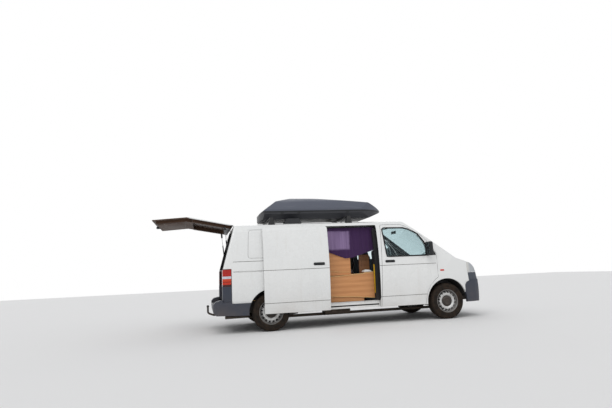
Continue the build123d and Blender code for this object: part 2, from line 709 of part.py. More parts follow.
rear_housing_y = wheel_y - 254
front_housing_y = wheel_y - 309
rear_housing = within(housing(rear_axle, arch_rear_radius + housing_gap, arch_rise - 5, rear_housing_y, half),
                      under_wall)
front_housing = housing(0, arch_front_radius + housing_gap, arch_rise, front_housing_y, floor_half - 6)
well_rear = cylinder_across(rear_axle, arch_rise - 5, -rear_housing_y, -1300, arch_rear_radius + housing_gap)
well_front = cylinder_across(0, arch_rise, -front_housing_y, -1300, arch_front_radius + housing_gap)
floor_sheet = within(block(floor_rear, floor_front, -half, half, floor_top - sheet, floor_top), under_wall)
door_cut = block(door_rear_low - 20, 300, -half - 10, -floor_half, 0, floor_top + 10)
slider_cut = block(slider_rear - 12, slider_front + 60, -half - 10, -floor_half, 0, floor_top + 10)
floor_sheet = cut_from(floor_sheet, door_cut, mirrored(door_cut), slider_cut)
sill_right = block(rear_axle + 430, -470, -floor_half, -floor_half + 90, sill_bottom + 8, floor_top - sheet)
track_slot = block(slider_rear - 60, slider_front - 20, -half, -floor_half + 60, 343, 367)
rail_right = block(floor_rear, 735, -490, -430, floor_top - 110, floor_top - sheet)
rear_sill = block(floor_rear - 4, floor_rear + 40, -700, 700, sill_bottom + 20, tail_bottom - 14)
member_shares = (0, 2 / 7, 4 / 7, 6 / 7, 1)
member_x = [-700 - share * (wheelbase - 1300) for share in member_shares]
member_width = 60.0
cross_members = [block(x, x + member_width, -floor_half + 95, floor_half - 95, floor_top - 80, floor_top - sheet)
                 for x in member_x]
floor_pan = joined(floor_sheet, cut_from(sill_right, track_slot), mirrored(sill_right), rail_right,
                   mirrored(rail_right), rear_sill, *cross_members)
floor_pan = cut_from(floor_pan, well_rear, mirrored(well_rear), well_front, mirrored(well_front))
arm_slot = block(-60, 60, -front_housing_y - 40, -front_housing_y + 20, 400, 530)
front_housing = cut_from(front_housing, arm_slot)
seat_y = 420.0
cushion_top = 800.0
plinth_top = cushion_top - 165
plinths = [block(-1130, -640, y - 200, y + 200, floor_top, plinth_top) for y in (-seat_y, seat_y)]
floor_pan = joined(floor_pan, rear_housing, mirrored(rear_housing), front_housing, mirrored(front_housing), *plinths)
save(floor_pan, "floor_pan")

# Front structure: stepped bulkhead, cowl box, upper rails, lock carrier, radiator and lamp brackets
bulkhead_x = 60.0
toe_x = -56.0
shelf_z = 796.0
bulkhead = joined(block(toe_x, toe_x + 16, -1200, 1200, floor_top - sheet, shelf_z),
                  block(toe_x, bulkhead_x + 16, -1200, 1200, shelf_z - 2, shelf_z + 12),
                  block(bulkhead_x, bulkhead_x + 16, -1200, 1200, shelf_z, belt_height + 110))
housing_room = cylinder_across(0, arch_rise, -front_housing_y + rest_gap, -1300,
                               arch_front_radius + housing_gap + sheet + rest_gap)
bulkhead = cut_from(within(bulkhead, under_wing), housing_room, mirrored(housing_room), door_hole,
                    mirrored(door_hole))
under_seat = body_form(bonnet_wall + rest_gap)
upper_rail = within(block(bulkhead_x, nose_x - 170, -700, -655, 872, 905), under_door)
lock_carrier = within(block(nose_x - 200, nose_x - 150, -760, 760, 872, 912), under_door)
radiator = block(nose_x - 196, nose_x - 152, -360, 360, 420, 872)
rail_nose = block(560, 735, -490, -430, floor_top - sheet, 560)
carrier_post = block(nose_x - 190, nose_x - 155, -490, -430, 560, 880)
crash_beam = within(block(nose_x - 160, nose_x - 100, -560, 560, 470, 540), under_door)
lamp_bracket = within(cut_from(under_door, body_form(door_depth + 18)),
                      side_slab(grown(lamp_front_outline, -8), -lamp_front_half - 6, -1300))
lamp_bracket = cut_from(lamp_bracket, bonnet_prism(panel_gap + 4))
buffers = [within(block(nose_x - 190, nose_x - 164, y - 14, y + 14, 905, 1200), under_seat) for y in (-380, 380)]
cowl_box = within(block(bulkhead_x, bulkhead_x + 190, -half + 150, half - 150, belt_height + 60,
                        belt_height + 96), under_wing)
hinge_posts = [within(block(bulkhead_x + 140, bonnet_rear_x + 30, y - 16, y + 16, belt_height + 80,
                            belt_height + 300), under_seat) for y in (-620, 620)]
inner_front = joined(bulkhead, cowl_box, upper_rail, mirrored(upper_rail), lock_carrier, radiator, rail_nose,
                     mirrored(rail_nose), carrier_post, mirrored(carrier_post), crash_beam,
                     lamp_bracket, mirrored(lamp_bracket), *buffers, *hinge_posts)
save(inner_front, "inner_front")

# Engine, fuel tank, exhaust
engine_foot = block(360, 440, -485, -320, floor_top - sheet + rest_gap, 500)
engine_block = joined(block(190, 600, -330, 330, 470, 900), engine_foot, mirrored(engine_foot))
save(engine_block, "engine_block")
with BuildPart() as tank:
    add(block(member_x[2] + member_width + 8, member_x[1] - 10, 505, half - 204, 245, floor_top - sheet - rest_gap))
    fillet(tank.edges(), radius=30)
save(tank.part, "fuel_tank")

pipe_z = 192.0
with BuildPart() as exhaust:
    with BuildLine() as pipe_route:
        FilletPolyline(spot(240, -250, 470 - rest_gap), spot(240, -250, pipe_z), spot(rear_axle - 60, -250, pipe_z),
                       spot(rear_axle - 380, -560, 262), spot(tail_x + 60, -600, 262),
                       radius=[60, 200, 120])
    with BuildSketch(Plane(origin=pipe_route.line @ 0, z_dir=pipe_route.line % 0)):
        Circle(27)
    sweep()
    with BuildSketch(cross_plane(-2300)):
        with Locations((-250, pipe_z + 40)):
            RectangleRounded(190, 130, 50)
    extrude(amount=520)
save(exhaust.part, "exhaust")

# Running gear
hub_height = tyre_radius
kingpin_y = wheel_y - 84
pin_low = 234.0
pin_high = 452.0
subframe = joined(block(-130, 70, -425, 425, 232, floor_top - 112),
                  block(-40, 20, -490, 490, 250, floor_top - 110 - rest_gap))
arm_right = joined(block(-34, 34, -kingpin_y - 26, -400, 178, 204), block(-300, -34, -470, -400, 190, 230),
                   block(-120, -34, -470, -400, 190, 260), block(-24, 24, -425, -400, 300, 490),
                   block(-24, 24, -kingpin_y - 20, -400, 470, 490))
with BuildPart() as ball_pins:
    with Locations(spot(0, -kingpin_y, (pin_low + 190) / 2)):
        Cylinder(11, pin_low - 190)
    with Locations(spot(0, -kingpin_y, (pin_high + 480) / 2 + rest_gap)):
        Cylinder(11, 480 - pin_high)
front_subframe = joined(subframe, arm_right, mirrored(arm_right), ball_pins.part, mirrored(ball_pins.part))
save(front_subframe, "front_subframe")

spindle_radius = 30.0
hub_inner = 12.0


def spindle(x, y0):
    """Stub axle from a mounting flange out into the wheel's hub, right side."""
    with BuildPart() as stub:
        with BuildSketch(side_plane(y0)):
            with Locations((x, hub_height)):
                Circle(62)
        extrude(amount=wheel_y - hub_inner - 2 + y0)
        with BuildSketch(side_plane(-wheel_y + hub_inner + 6)):
            with Locations((x, hub_height)):
                Circle(spindle_radius)
        extrude(amount=50)
    return stub.part


knuckle = joined(spindle(0, -kingpin_y - 4), block(-26, 26, -kingpin_y - 30, -kingpin_y + 20, 290, pin_high),
                 block(-20, 20, -kingpin_y - 20, -kingpin_y + 20, pin_low + rest_gap, 300),
                 block(-140, -20, -kingpin_y - 10, -kingpin_y + 10, 290, 310))
save(knuckle, "knuckle_right")
save(mirrored(knuckle), "knuckle_left")

arm_y = wheel_y - 214
beam = cylinder_across(rear_axle + 210, 267, arm_y + 20, -arm_y - 20, 42)
trailing_side = polygon((rear_axle - 60, 280), (rear_axle + 150, 225), (rear_axle + 520, 262),
                        (rear_axle + 540, 314), (rear_axle + 210, 340), (rear_axle - 60, 390))
trailing = joined(spindle(rear_axle, -wheel_y + 90), side_slab(trailing_side, -arm_y, -arm_y - 60),
                  cylinder_across(rear_axle, hub_height, -arm_y, -wheel_y + 89, 62),
                  block(rear_axle + 460, rear_axle + 530, -arm_y - 40, -425, 270, floor_top - 110 - rest_gap))
with BuildPart() as coil:
    with Locations(spot(rear_axle + 150, 75 - arm_y, 350)):
        Cylinder(30, 2 * (floor_top - sheet - rest_gap - 350))
coil_seat = block(rear_axle + 90, rear_axle + 210, -arm_y - 10, 105 - arm_y, 284, 304)
rear_axle_beam = joined(beam, trailing, mirrored(trailing), coil.part, mirrored(coil.part), coil_seat,
                        mirrored(coil_seat))
save(rear_axle_beam, "rear_axle")

# Tow bar with its ball
ball = (tail_x - 235, 430.0)
with BuildPart() as tow_bar:
    add(block(tail_x + 110, tail_x + 170, -490, 490, floor_top - 182, floor_top - 110 - rest_gap))
    with BuildLine() as neck:
        FilletPolyline(spot(tail_x + 130, 0, 278), spot(tail_x - 130, 0, 278), spot(ball[0], 0, 320),
                       spot(ball[0], 0, ball[1]), radius=[60, 50])
    with BuildSketch(Plane(origin=neck.line @ 0, z_dir=neck.line % 0)):
        Circle(18)
    sweep()
    with Locations(spot(ball[0], 0, ball[1] + 14)):
        Sphere(25)
save(tow_bar.part, "tow_bar")


def turned(x, y, outward, *runs):
    """A ring turned about a wheel's axle; each run gives its radius and distance outwards from the rim's middle."""
    with BuildPart() as ring:
        with BuildSketch(Plane(origin=spot(x, y, hub_height), x_dir=(1, 0, 0), z_dir=(0, 0, 1))):
            with BuildLine():
                Polyline(*[(r, outward * a) for r, a in runs], close=True)
            make_face()
        revolve(axis=Axis(spot(x, y, hub_height), (0, 1, 0)))
    return ring.part


bead = 206.0
wide = tyre_width / 2
tyre_runs = [(bead, -84), (bead, 84), (rim_radius + 1, 84), (rim_radius + 8, wide - 8), (rim_radius + 34, wide - 1),
             (rim_radius + 54, wide), (tyre_radius - 32, wide - 8), (tyre_radius - 10, wide - 18),
             (tyre_radius, wide - 34), (tyre_radius, 34 - wide), (tyre_radius - 10, 18 - wide),
             (tyre_radius - 32, 8 - wide), (rim_radius + 54, -wide), (rim_radius + 34, 1 - wide),
             (rim_radius + 8, 8 - wide), (rim_radius + 1, -84)]
barrel_runs = [(rim_radius, 92), (rim_radius - 6, 92), (bead - 7, 80), (bead - 9, 52), (bead - 28, 40),
               (bead - 28, -30), (bead - 9, -44), (bead - 8, -84), (rim_radius - 6, -92), (rim_radius, -92),
               (rim_radius, -84.3), (bead - rest_gap, -84.3), (bead - rest_gap, -48), (bead - 20, -34),
               (bead - 20, 34), (bead - rest_gap, 48), (bead - rest_gap, 84.3), (rim_radius, 84.3)]
disc_runs = [(spindle_radius + rest_gap, -hub_inner), (78, -hub_inner), (78, 38), (96, 44), (128, 60), (158, 58),
             (174, 44), (182, 30), (bead - 24, 26), (bead - 24, 34), (180, 40), (168, 62), (152, 70), (126, 70),
             (92, 54), (84, 50), (76, 60), (60, 68), (1, 70), (1, 36), (spindle_radius + rest_gap, 36)]
brake_runs = [(70, -10), (138, -10), (138, 12), (76, 12), (76, 0), (70, 0)]
hole_count = 16
hole_ring = 169.0
hole_radius = 10.0
for end, along in (("front", 0.0), ("rear", rear_axle)):
    for side, outward in (("right", -1), ("left", 1)):
        save(turned(along, outward * wheel_y, outward, *tyre_runs), "tyre_" + end + "_" + side)
        rim = joined(turned(along, outward * wheel_y, outward, *barrel_runs),
                     turned(along, outward * wheel_y, outward, *disc_runs),
                     turned(along, outward * wheel_y, outward, *brake_runs))
        with BuildPart() as pierced:
            add(rim)
            with BuildSketch(crossways(along, outward * (wheel_y + 30), hub_height, (0, outward, 0))):
                with PolarLocations(hole_ring, hole_count):
                    Circle(hole_radius)
            extrude(amount=80, mode=Mode.SUBTRACT)
        save(pierced.part, "rim_" + end + "_" + side)

# Cab: dashboard, steering wheel, seats
cab_half = half - wall - 34
dash_outline = polygon((bulkhead_x - 1, belt_height - 240), (bulkhead_x - 1, belt_height + 100), (20, belt_height + 112),
                       (-150, belt_height + 96), (-262, belt_height + 60), (-290, belt_height - 30),
                       (-262, belt_height - 120), (-150, belt_height - 260))
dash_solid = within(side_slab(dash_outline, cab_half, -cab_half), body_form(wall + 20))
footwell_cut = block(-140, 0, -700, 700, belt_height - 300, belt_height - 150)
glove_recess = block(-300, -200, -640, -240, belt_height - 30, belt_height + 26)

steer_centre = (-405.0, 400.0, belt_height - 6)
steer_tilt = 62.0
wheel_rim_radius = 190.0
steer_normal = Vector(-math.sin(math.radians(steer_tilt)), 0, math.cos(math.radians(steer_tilt)))
steer_plane = Plane(origin=spot(*steer_centre), x_dir=(0, 1, 0), z_dir=steer_normal)
with BuildPart() as steering_wheel:
    with Locations(steer_plane):
        Torus(wheel_rim_radius, 15)
        Cylinder(58, 46, align=(Align.CENTER, Align.CENTER, Align.MAX))
    with BuildSketch(steer_plane.offset(-22)):
        with PolarLocations(0, 3, start_angle=-90, angular_range=360):
            with Locations((wheel_rim_radius / 2, 0)):
                Rectangle(wheel_rim_radius, 34)
    extrude(amount=16)
    with Locations(steer_plane.offset(-44)):
        Cylinder(22, 116, align=(Align.CENTER, Align.CENTER, Align.MAX))
save(steering_wheel.part, "steering_wheel")
with BuildPart() as column_room:
    with Locations(steer_plane.offset(-44)):
        Cylinder(22 + rest_gap, 140, align=(Align.CENTER, Align.CENTER, Align.MAX))
dashboard = cut_from(dash_solid, footwell_cut, glove_recess, column_room.part)
save(dashboard, "dashboard")

seat_wide = 460.0
seat_foot = plinth_top + rest_gap


def seat(y):
    """Cushion, back and headrest of a front seat, as one soft solid."""
    with BuildPart() as pad:
        with BuildSketch(side_plane(y + seat_wide / 2)):
            with BuildLine():
                Polyline((-590, cushion_top - 160), (-570, cushion_top - 60), (-620, cushion_top),
                         (-1020, cushion_top - 35), (-1130, cushion_top + 600), (-1175, cushion_top + 625),
                         (-1225, cushion_top + 600), (-1200, cushion_top - 60), (-1150, seat_foot),
                         (-600, seat_foot), close=True)
            make_face()
        extrude(amount=seat_wide)
    with BuildPart() as rest:
        with BuildSketch(side_plane(y + 125)):
            with Locations(Location((-1165, cushion_top + 715, 0), (0, 0, -8))):
                RectangleRounded(95, 180, 30)
        extrude(amount=250)
        with Locations(spot(-1180, y - 60, cushion_top + 640), spot(-1180, y + 60, cushion_top + 640)):
            Cylinder(7, 60)
    return joined(pad.part, rest.part)


save(seat(seat_y), "driver_seat")
save(seat(-seat_y), "passenger_seat")

# Load space: wooden bed box with a cabinet over it, a boarded end panel, a pillow and a curtain
front_y = 192 - half
box_front_x = -1407.0
box_rear_x = rear_axle - 620
box_top = 930.0
box_bottom = 500.0
board = 18.0
plinth_front_x = -1617.0
edge_turn_x = box_front_x - 593
edge_mid_front = box_front_x - 293
edge_mid_rear = box_rear_x + 1420
lid_y = front_y + board
with BuildSketch(Plane.XY) as front_board:
    with BuildLine():
        rear_top = ThreePointArc((box_rear_x, 886), (edge_mid_rear, 889), (edge_turn_x, 903))
        front_top = ThreePointArc(rear_top @ 1, (edge_mid_front, 925), (box_front_x, 955))
        front_low = ThreePointArc((box_front_x, 471), (edge_mid_front, 499), (edge_turn_x, 519))
        rear_low = ThreePointArc(front_low @ 1, (edge_mid_rear, 533), (box_rear_x, 540))
        Line(front_top @ 1, front_low @ 0)
        Line(rear_low @ 1, rear_top @ 0)
    make_face()
bed_box = joined(side_slab(front_board.sketch, lid_y, front_y),
                 block(box_rear_x, box_front_x, lid_y, half - 130, box_top - board, box_top),
                 block(box_front_x - board, box_front_x, lid_y, half - 130, floor_top, box_top),
                 block(box_rear_x, box_rear_x + board, front_y + 200, half - 130, floor_top, box_top),
                 block(box_rear_x, plinth_front_x, lid_y, lid_y + board, floor_top, box_bottom + 60))
bed_box = cut_from(bed_box, block(plinth_front_x, box_front_x + 2, lid_y, front_y + 500, floor_top - 2, box_bottom),
                   cylinder_across(rear_axle, arch_rise - 5, -rear_housing_y + 5, -1300,
                                   arch_rear_radius + housing_gap + sheet + 5))
boards = [block(-1600 + i * 52, -1600 + i * 52 + 50, -520, -502, box_top - 5, 1290) for i in range(4)]
bed_box = joined(bed_box, *boards, block(-1600, -1394, -502, -490, box_top - 5, 1290))
save(bed_box, "bed_box")
cabinet_front_x = slider_front - 487
cabinet_back_x = rear_axle + 780
cabinet_top = 1420.0
cabinet_y = (curtain_y + 18, curtain_y + 372)
cabinet = cut_from(block(cabinet_back_x, cabinet_front_x, *cabinet_y, box_top, cabinet_top),
                   block(cabinet_back_x + board, cabinet_front_x - board, cabinet_y[0] + board, cabinet_y[1] - board,
                         box_top + board, cabinet_top - board))
save(cabinet, "cabinet")
mattress = block(box_rear_x + 40, -1640, cabinet_y[1] + 20, half - 160, box_top + rest_gap, box_top + 110)
save(mattress, "mattress")
pillow = block(-1584, -1414, front_y + 30, front_y + 230, box_top + rest_gap, box_top + 70)
save(pillow, "pillow")
curtain_width = curtain_front - curtain_rear
curtain_hang = roof_crown - 580
curtain_outline = polygon((curtain_rear, curtain_hang), (curtain_rear + 0.22 * curtain_width, curtain_hang - 47),
                          (curtain_rear + 0.46 * curtain_width, curtain_hang - 159),
                          (curtain_rear + 0.57 * curtain_width, curtain_hang - 152),
                          (curtain_front, curtain_hang + 9), (curtain_front - 82, curtain_top - rest_gap),
                          (curtain_rear, curtain_top - rest_gap))
save(side_slab(curtain_outline, curtain_y + 4, curtain_y - 4), "curtain")

# Roof: two bars on feet, an air vent, and the long box
bar_x = (rear_axle + 80, -1834.0)
bar_top = roof_crown + 70
bar_half = 700.0
roof_bars = []
for x in bar_x:
    foot_side = polygon((x - 66, roof_split), (x + 66, roof_split), (x + 30, bar_top - 4), (x - 30, bar_top - 4))
    foot = cut_from(side_slab(foot_side, -bar_half + 24, -bar_half - 66), outer)
    roof_bars += [block(x - 22, x + 22, -bar_half, bar_half, bar_top - 30, bar_top), foot, mirrored(foot)]
save(joined(*roof_bars), "roof_bars")

vent_x = (rear_axle + 372, rear_axle + 678)
with BuildPart() as vent:
    with BuildSketch(side_plane(-270)):
        with BuildLine():
            Polyline((vent_x[0], roof_crown - 60), (vent_x[0], roof_crown - 2), (vent_x[0] + 37, roof_crown + 64),
                     (vent_x[1] - 51, roof_crown + 64), (vent_x[1], roof_crown - 2), (vent_x[1], roof_crown - 60),
                     close=True)
        make_face()
    extrude(amount=300)
    add(outer, mode=Mode.SUBTRACT)
save(vent.part, "roof_vent")

box_tail = rear_axle - 99
box_nose = -955.0
box_half = 430.0
box_floor = bar_top + rest_gap
box_rim = roof_crown + 232
box_crest = roof_crown + 499
box_wall = 6.0


def box_plan(inset):
    """Plan of the roof box, drawn in by a distance."""
    with BuildSketch(floor_plane(box_floor - 10)) as plan:
        with BuildLine():
            tail = ThreePointArc((box_tail + 90 + inset * 0.3, -box_half + inset), (box_tail + inset, 0),
                                 (box_tail + 90 + inset * 0.3, box_half - inset))
            side = Line(tail @ 1, (box_nose - 800, box_half - inset))
            front = ThreePointArc(side @ 1, (box_nose - 330, box_half - 55 - inset), (box_nose - inset * 1.4, 90))
            Polyline(front @ 1, (box_nose - inset * 1.4, -90))
            mirror(front, about=Plane.XZ)
            mirror(side, about=Plane.XZ)
        make_face()
    return plan.sketch


def box_form(inset, low, high):
    """Roof box body between two heights: plan, side view and arched cross section together."""
    with BuildPart() as form:
        add(box_plan(inset))
        extrude(amount=600)
        with BuildSketch(side_plane()):
            with BuildLine():
                Polyline((box_tail - 50, box_floor - 20), (box_tail + 60 + inset, box_floor + inset),
                         (box_nose - 330, box_floor + inset), (box_nose - inset, box_rim - 34),
                         (box_nose - inset, box_rim + 6), (box_nose - 330, box_crest - 120 - inset),
                         (box_tail + 1099, box_crest - 12 - inset), (box_tail + 640, box_crest - inset),
                         (box_tail + 330, box_crest - 70 - inset), (box_tail + 20 + inset, box_rim - 30),
                         (box_tail + 4 + inset, box_rim - 60), close=True)
            make_face()
        extrude(amount=600, both=True, mode=Mode.INTERSECT)
        with BuildSketch(cross_plane()):
            with BuildLine():
                foot = Line((0, box_floor + inset), (box_half - 60 - inset, box_floor + inset))
                flank = Polyline(foot @ 1, (box_half - inset, box_rim - 60), (box_half - inset, box_rim + 30),
                                 (box_half - 60 - inset, box_crest - 80 - inset))
                ThreePointArc(flank @ 1, (box_half - 150, box_crest - 22 - inset), (0, box_crest - inset))
                mirror(about=Plane.YZ)
            make_face()
        extrude(amount=5000, both=True, mode=Mode.INTERSECT)
        add(block(-4600, 0, -600, 600, low, high), mode=Mode.INTERSECT)
    return form.part


box_base = cut_from(box_form(0, box_floor - 30, box_rim), box_form(box_wall, box_floor - 30, box_rim + 1))
save(box_base, "roof_box_base")
box_lid = cut_from(box_form(0, box_rim + rest_gap, box_crest + 9), box_form(box_wall, box_rim - 1, box_crest + 9))
save(box_lid, "roof_box_lid")

# Gas struts of the tailgate: a tube on the pillar and a rod that slides in it
strut_dir = Vector(strut_pin[0] - strut_base[0], 0, strut_pin[1] - strut_base[1])
strut_length = strut_dir.length
strut_dir = strut_dir.normalized()


def strut_plane(distance):
    at = Vector(*spot(strut_base[0], strut_line_y, strut_base[1])) + strut_dir * distance
    return Plane(origin=at, x_dir=(0, 1, 0), z_dir=strut_dir)


with BuildPart() as strut_tube:
    with BuildSketch(strut_plane(18)):
        Circle(11)
        Circle(4.5, mode=Mode.SUBTRACT)
    extrude(amount=330)
    with BuildSketch(strut_plane(8)):
        Circle(8)
    extrude(amount=12)
    with Locations(Plane(origin=spot(strut_base[0], strut_line_y, strut_base[1]), x_dir=(1, 0, 0), z_dir=(0, -1, 0))):
        Cylinder(11, 12)
        Cylinder(5.3, 14, mode=Mode.SUBTRACT)
save(strut_tube.part, "strut_tube_right")
save(mirrored(strut_tube.part), "strut_tube_left")
rod_foot = 78.0
with BuildPart() as strut_rod:
    with BuildSketch(strut_plane(rod_foot)):
        Circle(4)
    extrude(amount=strut_length - 8 - rod_foot)
    with Locations(Plane(origin=spot(strut_pin[0], strut_line_y, strut_pin[1]), x_dir=(1, 0, 0), z_dir=(0, -1, 0))):
        Cylinder(11, 12)
        Cylinder(5.3, 14, mode=Mode.SUBTRACT)
save(strut_rod.part, "strut_rod_right")
save(mirrored(strut_rod.part), "strut_rod_left")
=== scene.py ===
import bpy
import math
from mathutils import Matrix, Vector


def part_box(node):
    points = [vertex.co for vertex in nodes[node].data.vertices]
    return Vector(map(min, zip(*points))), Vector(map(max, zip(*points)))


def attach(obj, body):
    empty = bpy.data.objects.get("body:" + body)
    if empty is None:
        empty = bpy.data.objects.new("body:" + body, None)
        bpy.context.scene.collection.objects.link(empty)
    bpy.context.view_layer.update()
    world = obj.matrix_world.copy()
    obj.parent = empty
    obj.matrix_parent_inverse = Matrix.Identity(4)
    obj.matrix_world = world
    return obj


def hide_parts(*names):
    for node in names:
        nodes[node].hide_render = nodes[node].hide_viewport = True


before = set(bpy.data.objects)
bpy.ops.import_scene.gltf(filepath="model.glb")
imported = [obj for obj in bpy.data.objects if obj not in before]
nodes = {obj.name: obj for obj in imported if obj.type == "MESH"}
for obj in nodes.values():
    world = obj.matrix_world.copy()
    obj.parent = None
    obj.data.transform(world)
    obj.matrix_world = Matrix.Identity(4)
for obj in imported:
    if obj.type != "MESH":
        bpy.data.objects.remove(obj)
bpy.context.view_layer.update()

# Places are given in millimetres: ahead of the front axle, left of the middle, above the ground
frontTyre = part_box("tyre_front_right")
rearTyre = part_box("tyre_rear_right")
axleX = (frontTyre[0].x + frontTyre[1].x) / 2
rearAxleX = (rearTyre[0].x + rearTyre[1].x) / 2
hubOut, hubHeight = 0.814, (frontTyre[0].z + frontTyre[1].z) / 2
hingeX, hingeZ, openAngle = -4008, 1906, math.radians(85.5)
hingeTurn, hingeRise = math.cos(openAngle), math.sin(openAngle)
flanks = (("right", -1), ("left", 1))
axles = (("front", axleX), ("rear", rearAxleX))
wheels = [(end, side, sign, Vector((x, sign * hubOut, hubHeight))) for end, x in axles for side, sign in flanks]
down, back = Vector((0, 0, -1)), Vector((-1, 0, 0))
farSide, farTop, farFront = 1300, 2400, 1500  # where lines towards the van start


def at(x, y, z):
    return Vector((axleX + x / 1000, y / 1000, z / 1000))


def held(value, low, high):
    return max(low, min(high, value))


def acrossMiddle(place):
    return Vector((place.x, -place.y, place.z))


def raisedAt(x, y, z):  # a place on the tailgate as if it were shut
    dx, dz = x - hingeX, z - hingeZ
    return at(hingeX + dx * hingeTurn + dz * hingeRise, y, hingeZ - dx * hingeRise + dz * hingeTurn)


# Shader tools
class Wire:  # a socket that can be added, multiplied and compared
    def __init__(self, finish, socket):
        self.finish = finish
        self.socket = socket

    def maths(self, operation, *values):
        return self.finish.node("ShaderNodeMath", {"operation": operation}, values)

    def shaped(self, operation, *others):  # the same, starting from this value
        return self.maths(operation, self, *others)

    def __add__(self, other):
        return self.shaped("ADD", other)

    def __sub__(self, other):
        return self.shaped("SUBTRACT", other)

    def __rsub__(self, other):
        return self.maths("SUBTRACT", other, self)

    def __mul__(self, other):
        return self.shaped("MULTIPLY", other)

    def __gt__(self, other):
        return self.shaped("GREATER_THAN", other)

    def __lt__(self, other):
        return self.shaped("LESS_THAN", other)

    def __abs__(self):
        return self.shaped("ABSOLUTE")

    __radd__ = __add__
    __rmul__ = __mul__


class Finish:
    def __init__(self, name, fixed):
        self.material = bpy.data.materials.new(name)
        self.material.use_nodes = True
        self.tree = self.material.node_tree
        self.shader = self.tree.nodes["Principled BSDF"]
        for socket, value in fixed.items():
            self.feed(self.shader.inputs[socket], value)
        self.place = self.node("ShaderNodeTexCoord", {}, {}, "Object")
        split = self.node("ShaderNodeSeparateXYZ", {}, [self.place])
        self.x, self.y, self.z = (Wire(self, split.socket.node.outputs[i]) for i in range(3))

    def feed(self, socket, value):
        if isinstance(value, Wire):
            self.tree.links.new(value.socket, socket)
        elif socket.type == "RGBA" and len(value) == 3:
            socket.default_value = (*value, 1)
        else:
            socket.default_value = value

    def node(self, kind, settings, values, output=0):
        made = self.tree.nodes.new(kind)
        for setting, value in settings.items():
            if setting == "stops":
                ramp = made.color_ramp.elements
                for place, colour in value[1:-1]:
                    ramp.new(place)
                for element, (place, colour) in zip(ramp, value):
                    element.position = place
                    element.color = (*colour, 1)
            else:
                setattr(made, setting, value)
        pairs = values.items() if isinstance(values, dict) else enumerate(values)
        for key, value in pairs:
            self.feed(made.inputs[key], value)
        return Wire(self, made.outputs[output])

    def stretched(self, scale):
        return self.node("ShaderNodeMapping", {}, {"Vector": self.place, "Scale": scale})

    def noise(self, scale, detail=3.0, stretch=(1, 1, 1), roughness=0.55):
        values = {"Vector": self.stretched(stretch), "Scale": scale, "Detail": detail, "Roughness": roughness}
        return self.node("ShaderNodeTexNoise", {}, values)

    def cells(self, scale, stretch=(1, 1, 1)):
        return self.node("ShaderNodeTexVoronoi", {}, {"Vector": self.stretched(stretch), "Scale": scale})

    def waves(self, way, values):
        settings = {"wave_type": "BANDS", "bands_direction": way, "wave_profile": "SIN"}
        return self.node("ShaderNodeTexWave", settings, values)

    def between(self, value, low, high, first=0.0, last=1.0):
        return self.node("ShaderNodeMapRange", {}, [value, low, high, first, last])

    def ramp(self, value, stops):
        return self.node("ShaderNodeValToRGB", {"stops": stops}, [value])

    def blend(self, amount, first, second):
        return self.node("ShaderNodeMix", {"data_type": "RGBA"}, {0: amount, 6: first, 7: second}, 2)

    def relief(self, height, strength, distance, under=None):
        values = {"Strength": strength, "Distance": distance, "Height": height}
        if under:
            values["Normal"] = under
        return self.node("ShaderNodeBump", {}, values)

    def set(self, **wires):
        for name, wire in wires.items():
            self.feed(self.shader.inputs[name.replace("_", " ")], wire)
        return self.material


def tinted(colour, factor):
    return tuple(min(1, c * factor) for c in colour)


dustAndShadeLook = {"colour": (0.27, 0.19, 0.13), "top": 0.85, "amount": 0.42, "patches": 3.5}


def dustedAndShaded(finish, colour, amount=1.0):  # dry road dust that thickens towards the ground; this darkening towards the bottom is also painted shade on the lower body
    low = 1 - finish.between(finish.z, 0.25, dustAndShadeLook["top"])
    patches = finish.between(finish.noise(dustAndShadeLook["patches"], 6), 0.3, 0.75)
    return finish.blend(low * low * patches * (dustAndShadeLook["amount"] * amount), colour, dustAndShadeLook["colour"])


paintLook = {"cool": (0.76, 0.765, 0.755), "warm": (0.80, 0.80, 0.785), "streaks": (0.50, 0.46, 0.40),
             "coat": 0.35, "coatRoughness": 0.07}


def whitePaint(name, roughness):
    f = Finish(name, {"Roughness": roughness, "Coat Weight": paintLook["coat"],
                      "Coat Roughness": paintLook["coatRoughness"]})
    return f, f.blend(f.between(f.noise(0.9, 4), 0.3, 0.7), paintLook["cool"], paintLook["warm"])


def paintFinish():
    f, base = whitePaint("van_paint", 0.28)
    rain = f.between(f.noise(1.0, 4, (16, 16, 0.8)), 0.55, 0.8)
    base = f.blend(rain * 0.14, base, paintLook["streaks"])
    grit = f.noise(240, 2)
    return f.set(Base_Color=dustedAndShaded(f, base), Roughness=f.between(f.noise(7, 5), 0.3, 0.8, 0.2, 0.4),
                 Normal=f.relief(grit, 0.06, 0.001))


wingLook = {"low": (0.69, 0.500), "high": (0.865, 0.480), "top": 0.857}


def wingFinish(paint):  # the bumper's plastic reaches up to the lamps
    f, base = whitePaint("wing_paint", 0.3)
    (low, lowX), (high, highX) = wingLook["low"], wingLook["high"]
    rear = f.between(f.z, low, high, axleX + lowX, axleX + highX)
    plastic = (f.x > rear) * (f.z < wingLook["top"])
    grain = f.cells(700)
    base = f.blend(plastic, dustedAndShaded(f, base), dustedAndShaded(f, paint, 0.6))
    return f.set(Base_Color=base, Coat_Weight=paintLook["coat"] - plastic * paintLook["coat"],
                 Roughness=0.26 + plastic * 0.26, Normal=f.relief(grain * plastic, 0.25, 0.0006))


def plasticFinish(name, colour, roughness=0.55, grain=900.0, dust=0.7, wear=0.25):
    f = Finish(name, {"Specular IOR Level": 0.22})
    worn = f.between(f.noise(5, 5), 0.45, 0.75)
    pale = tuple(c * 0.6 + 0.05 for c in colour)
    base = f.blend(worn * wear, colour, pale)
    leather = f.cells(grain)
    return f.set(Base_Color=dustedAndShaded(f, base, dust),
                 Roughness=f.between(worn, 0, 1, roughness - 0.08, roughness + 0.12),
                 Normal=f.relief(leather, 0.25, 0.0006))


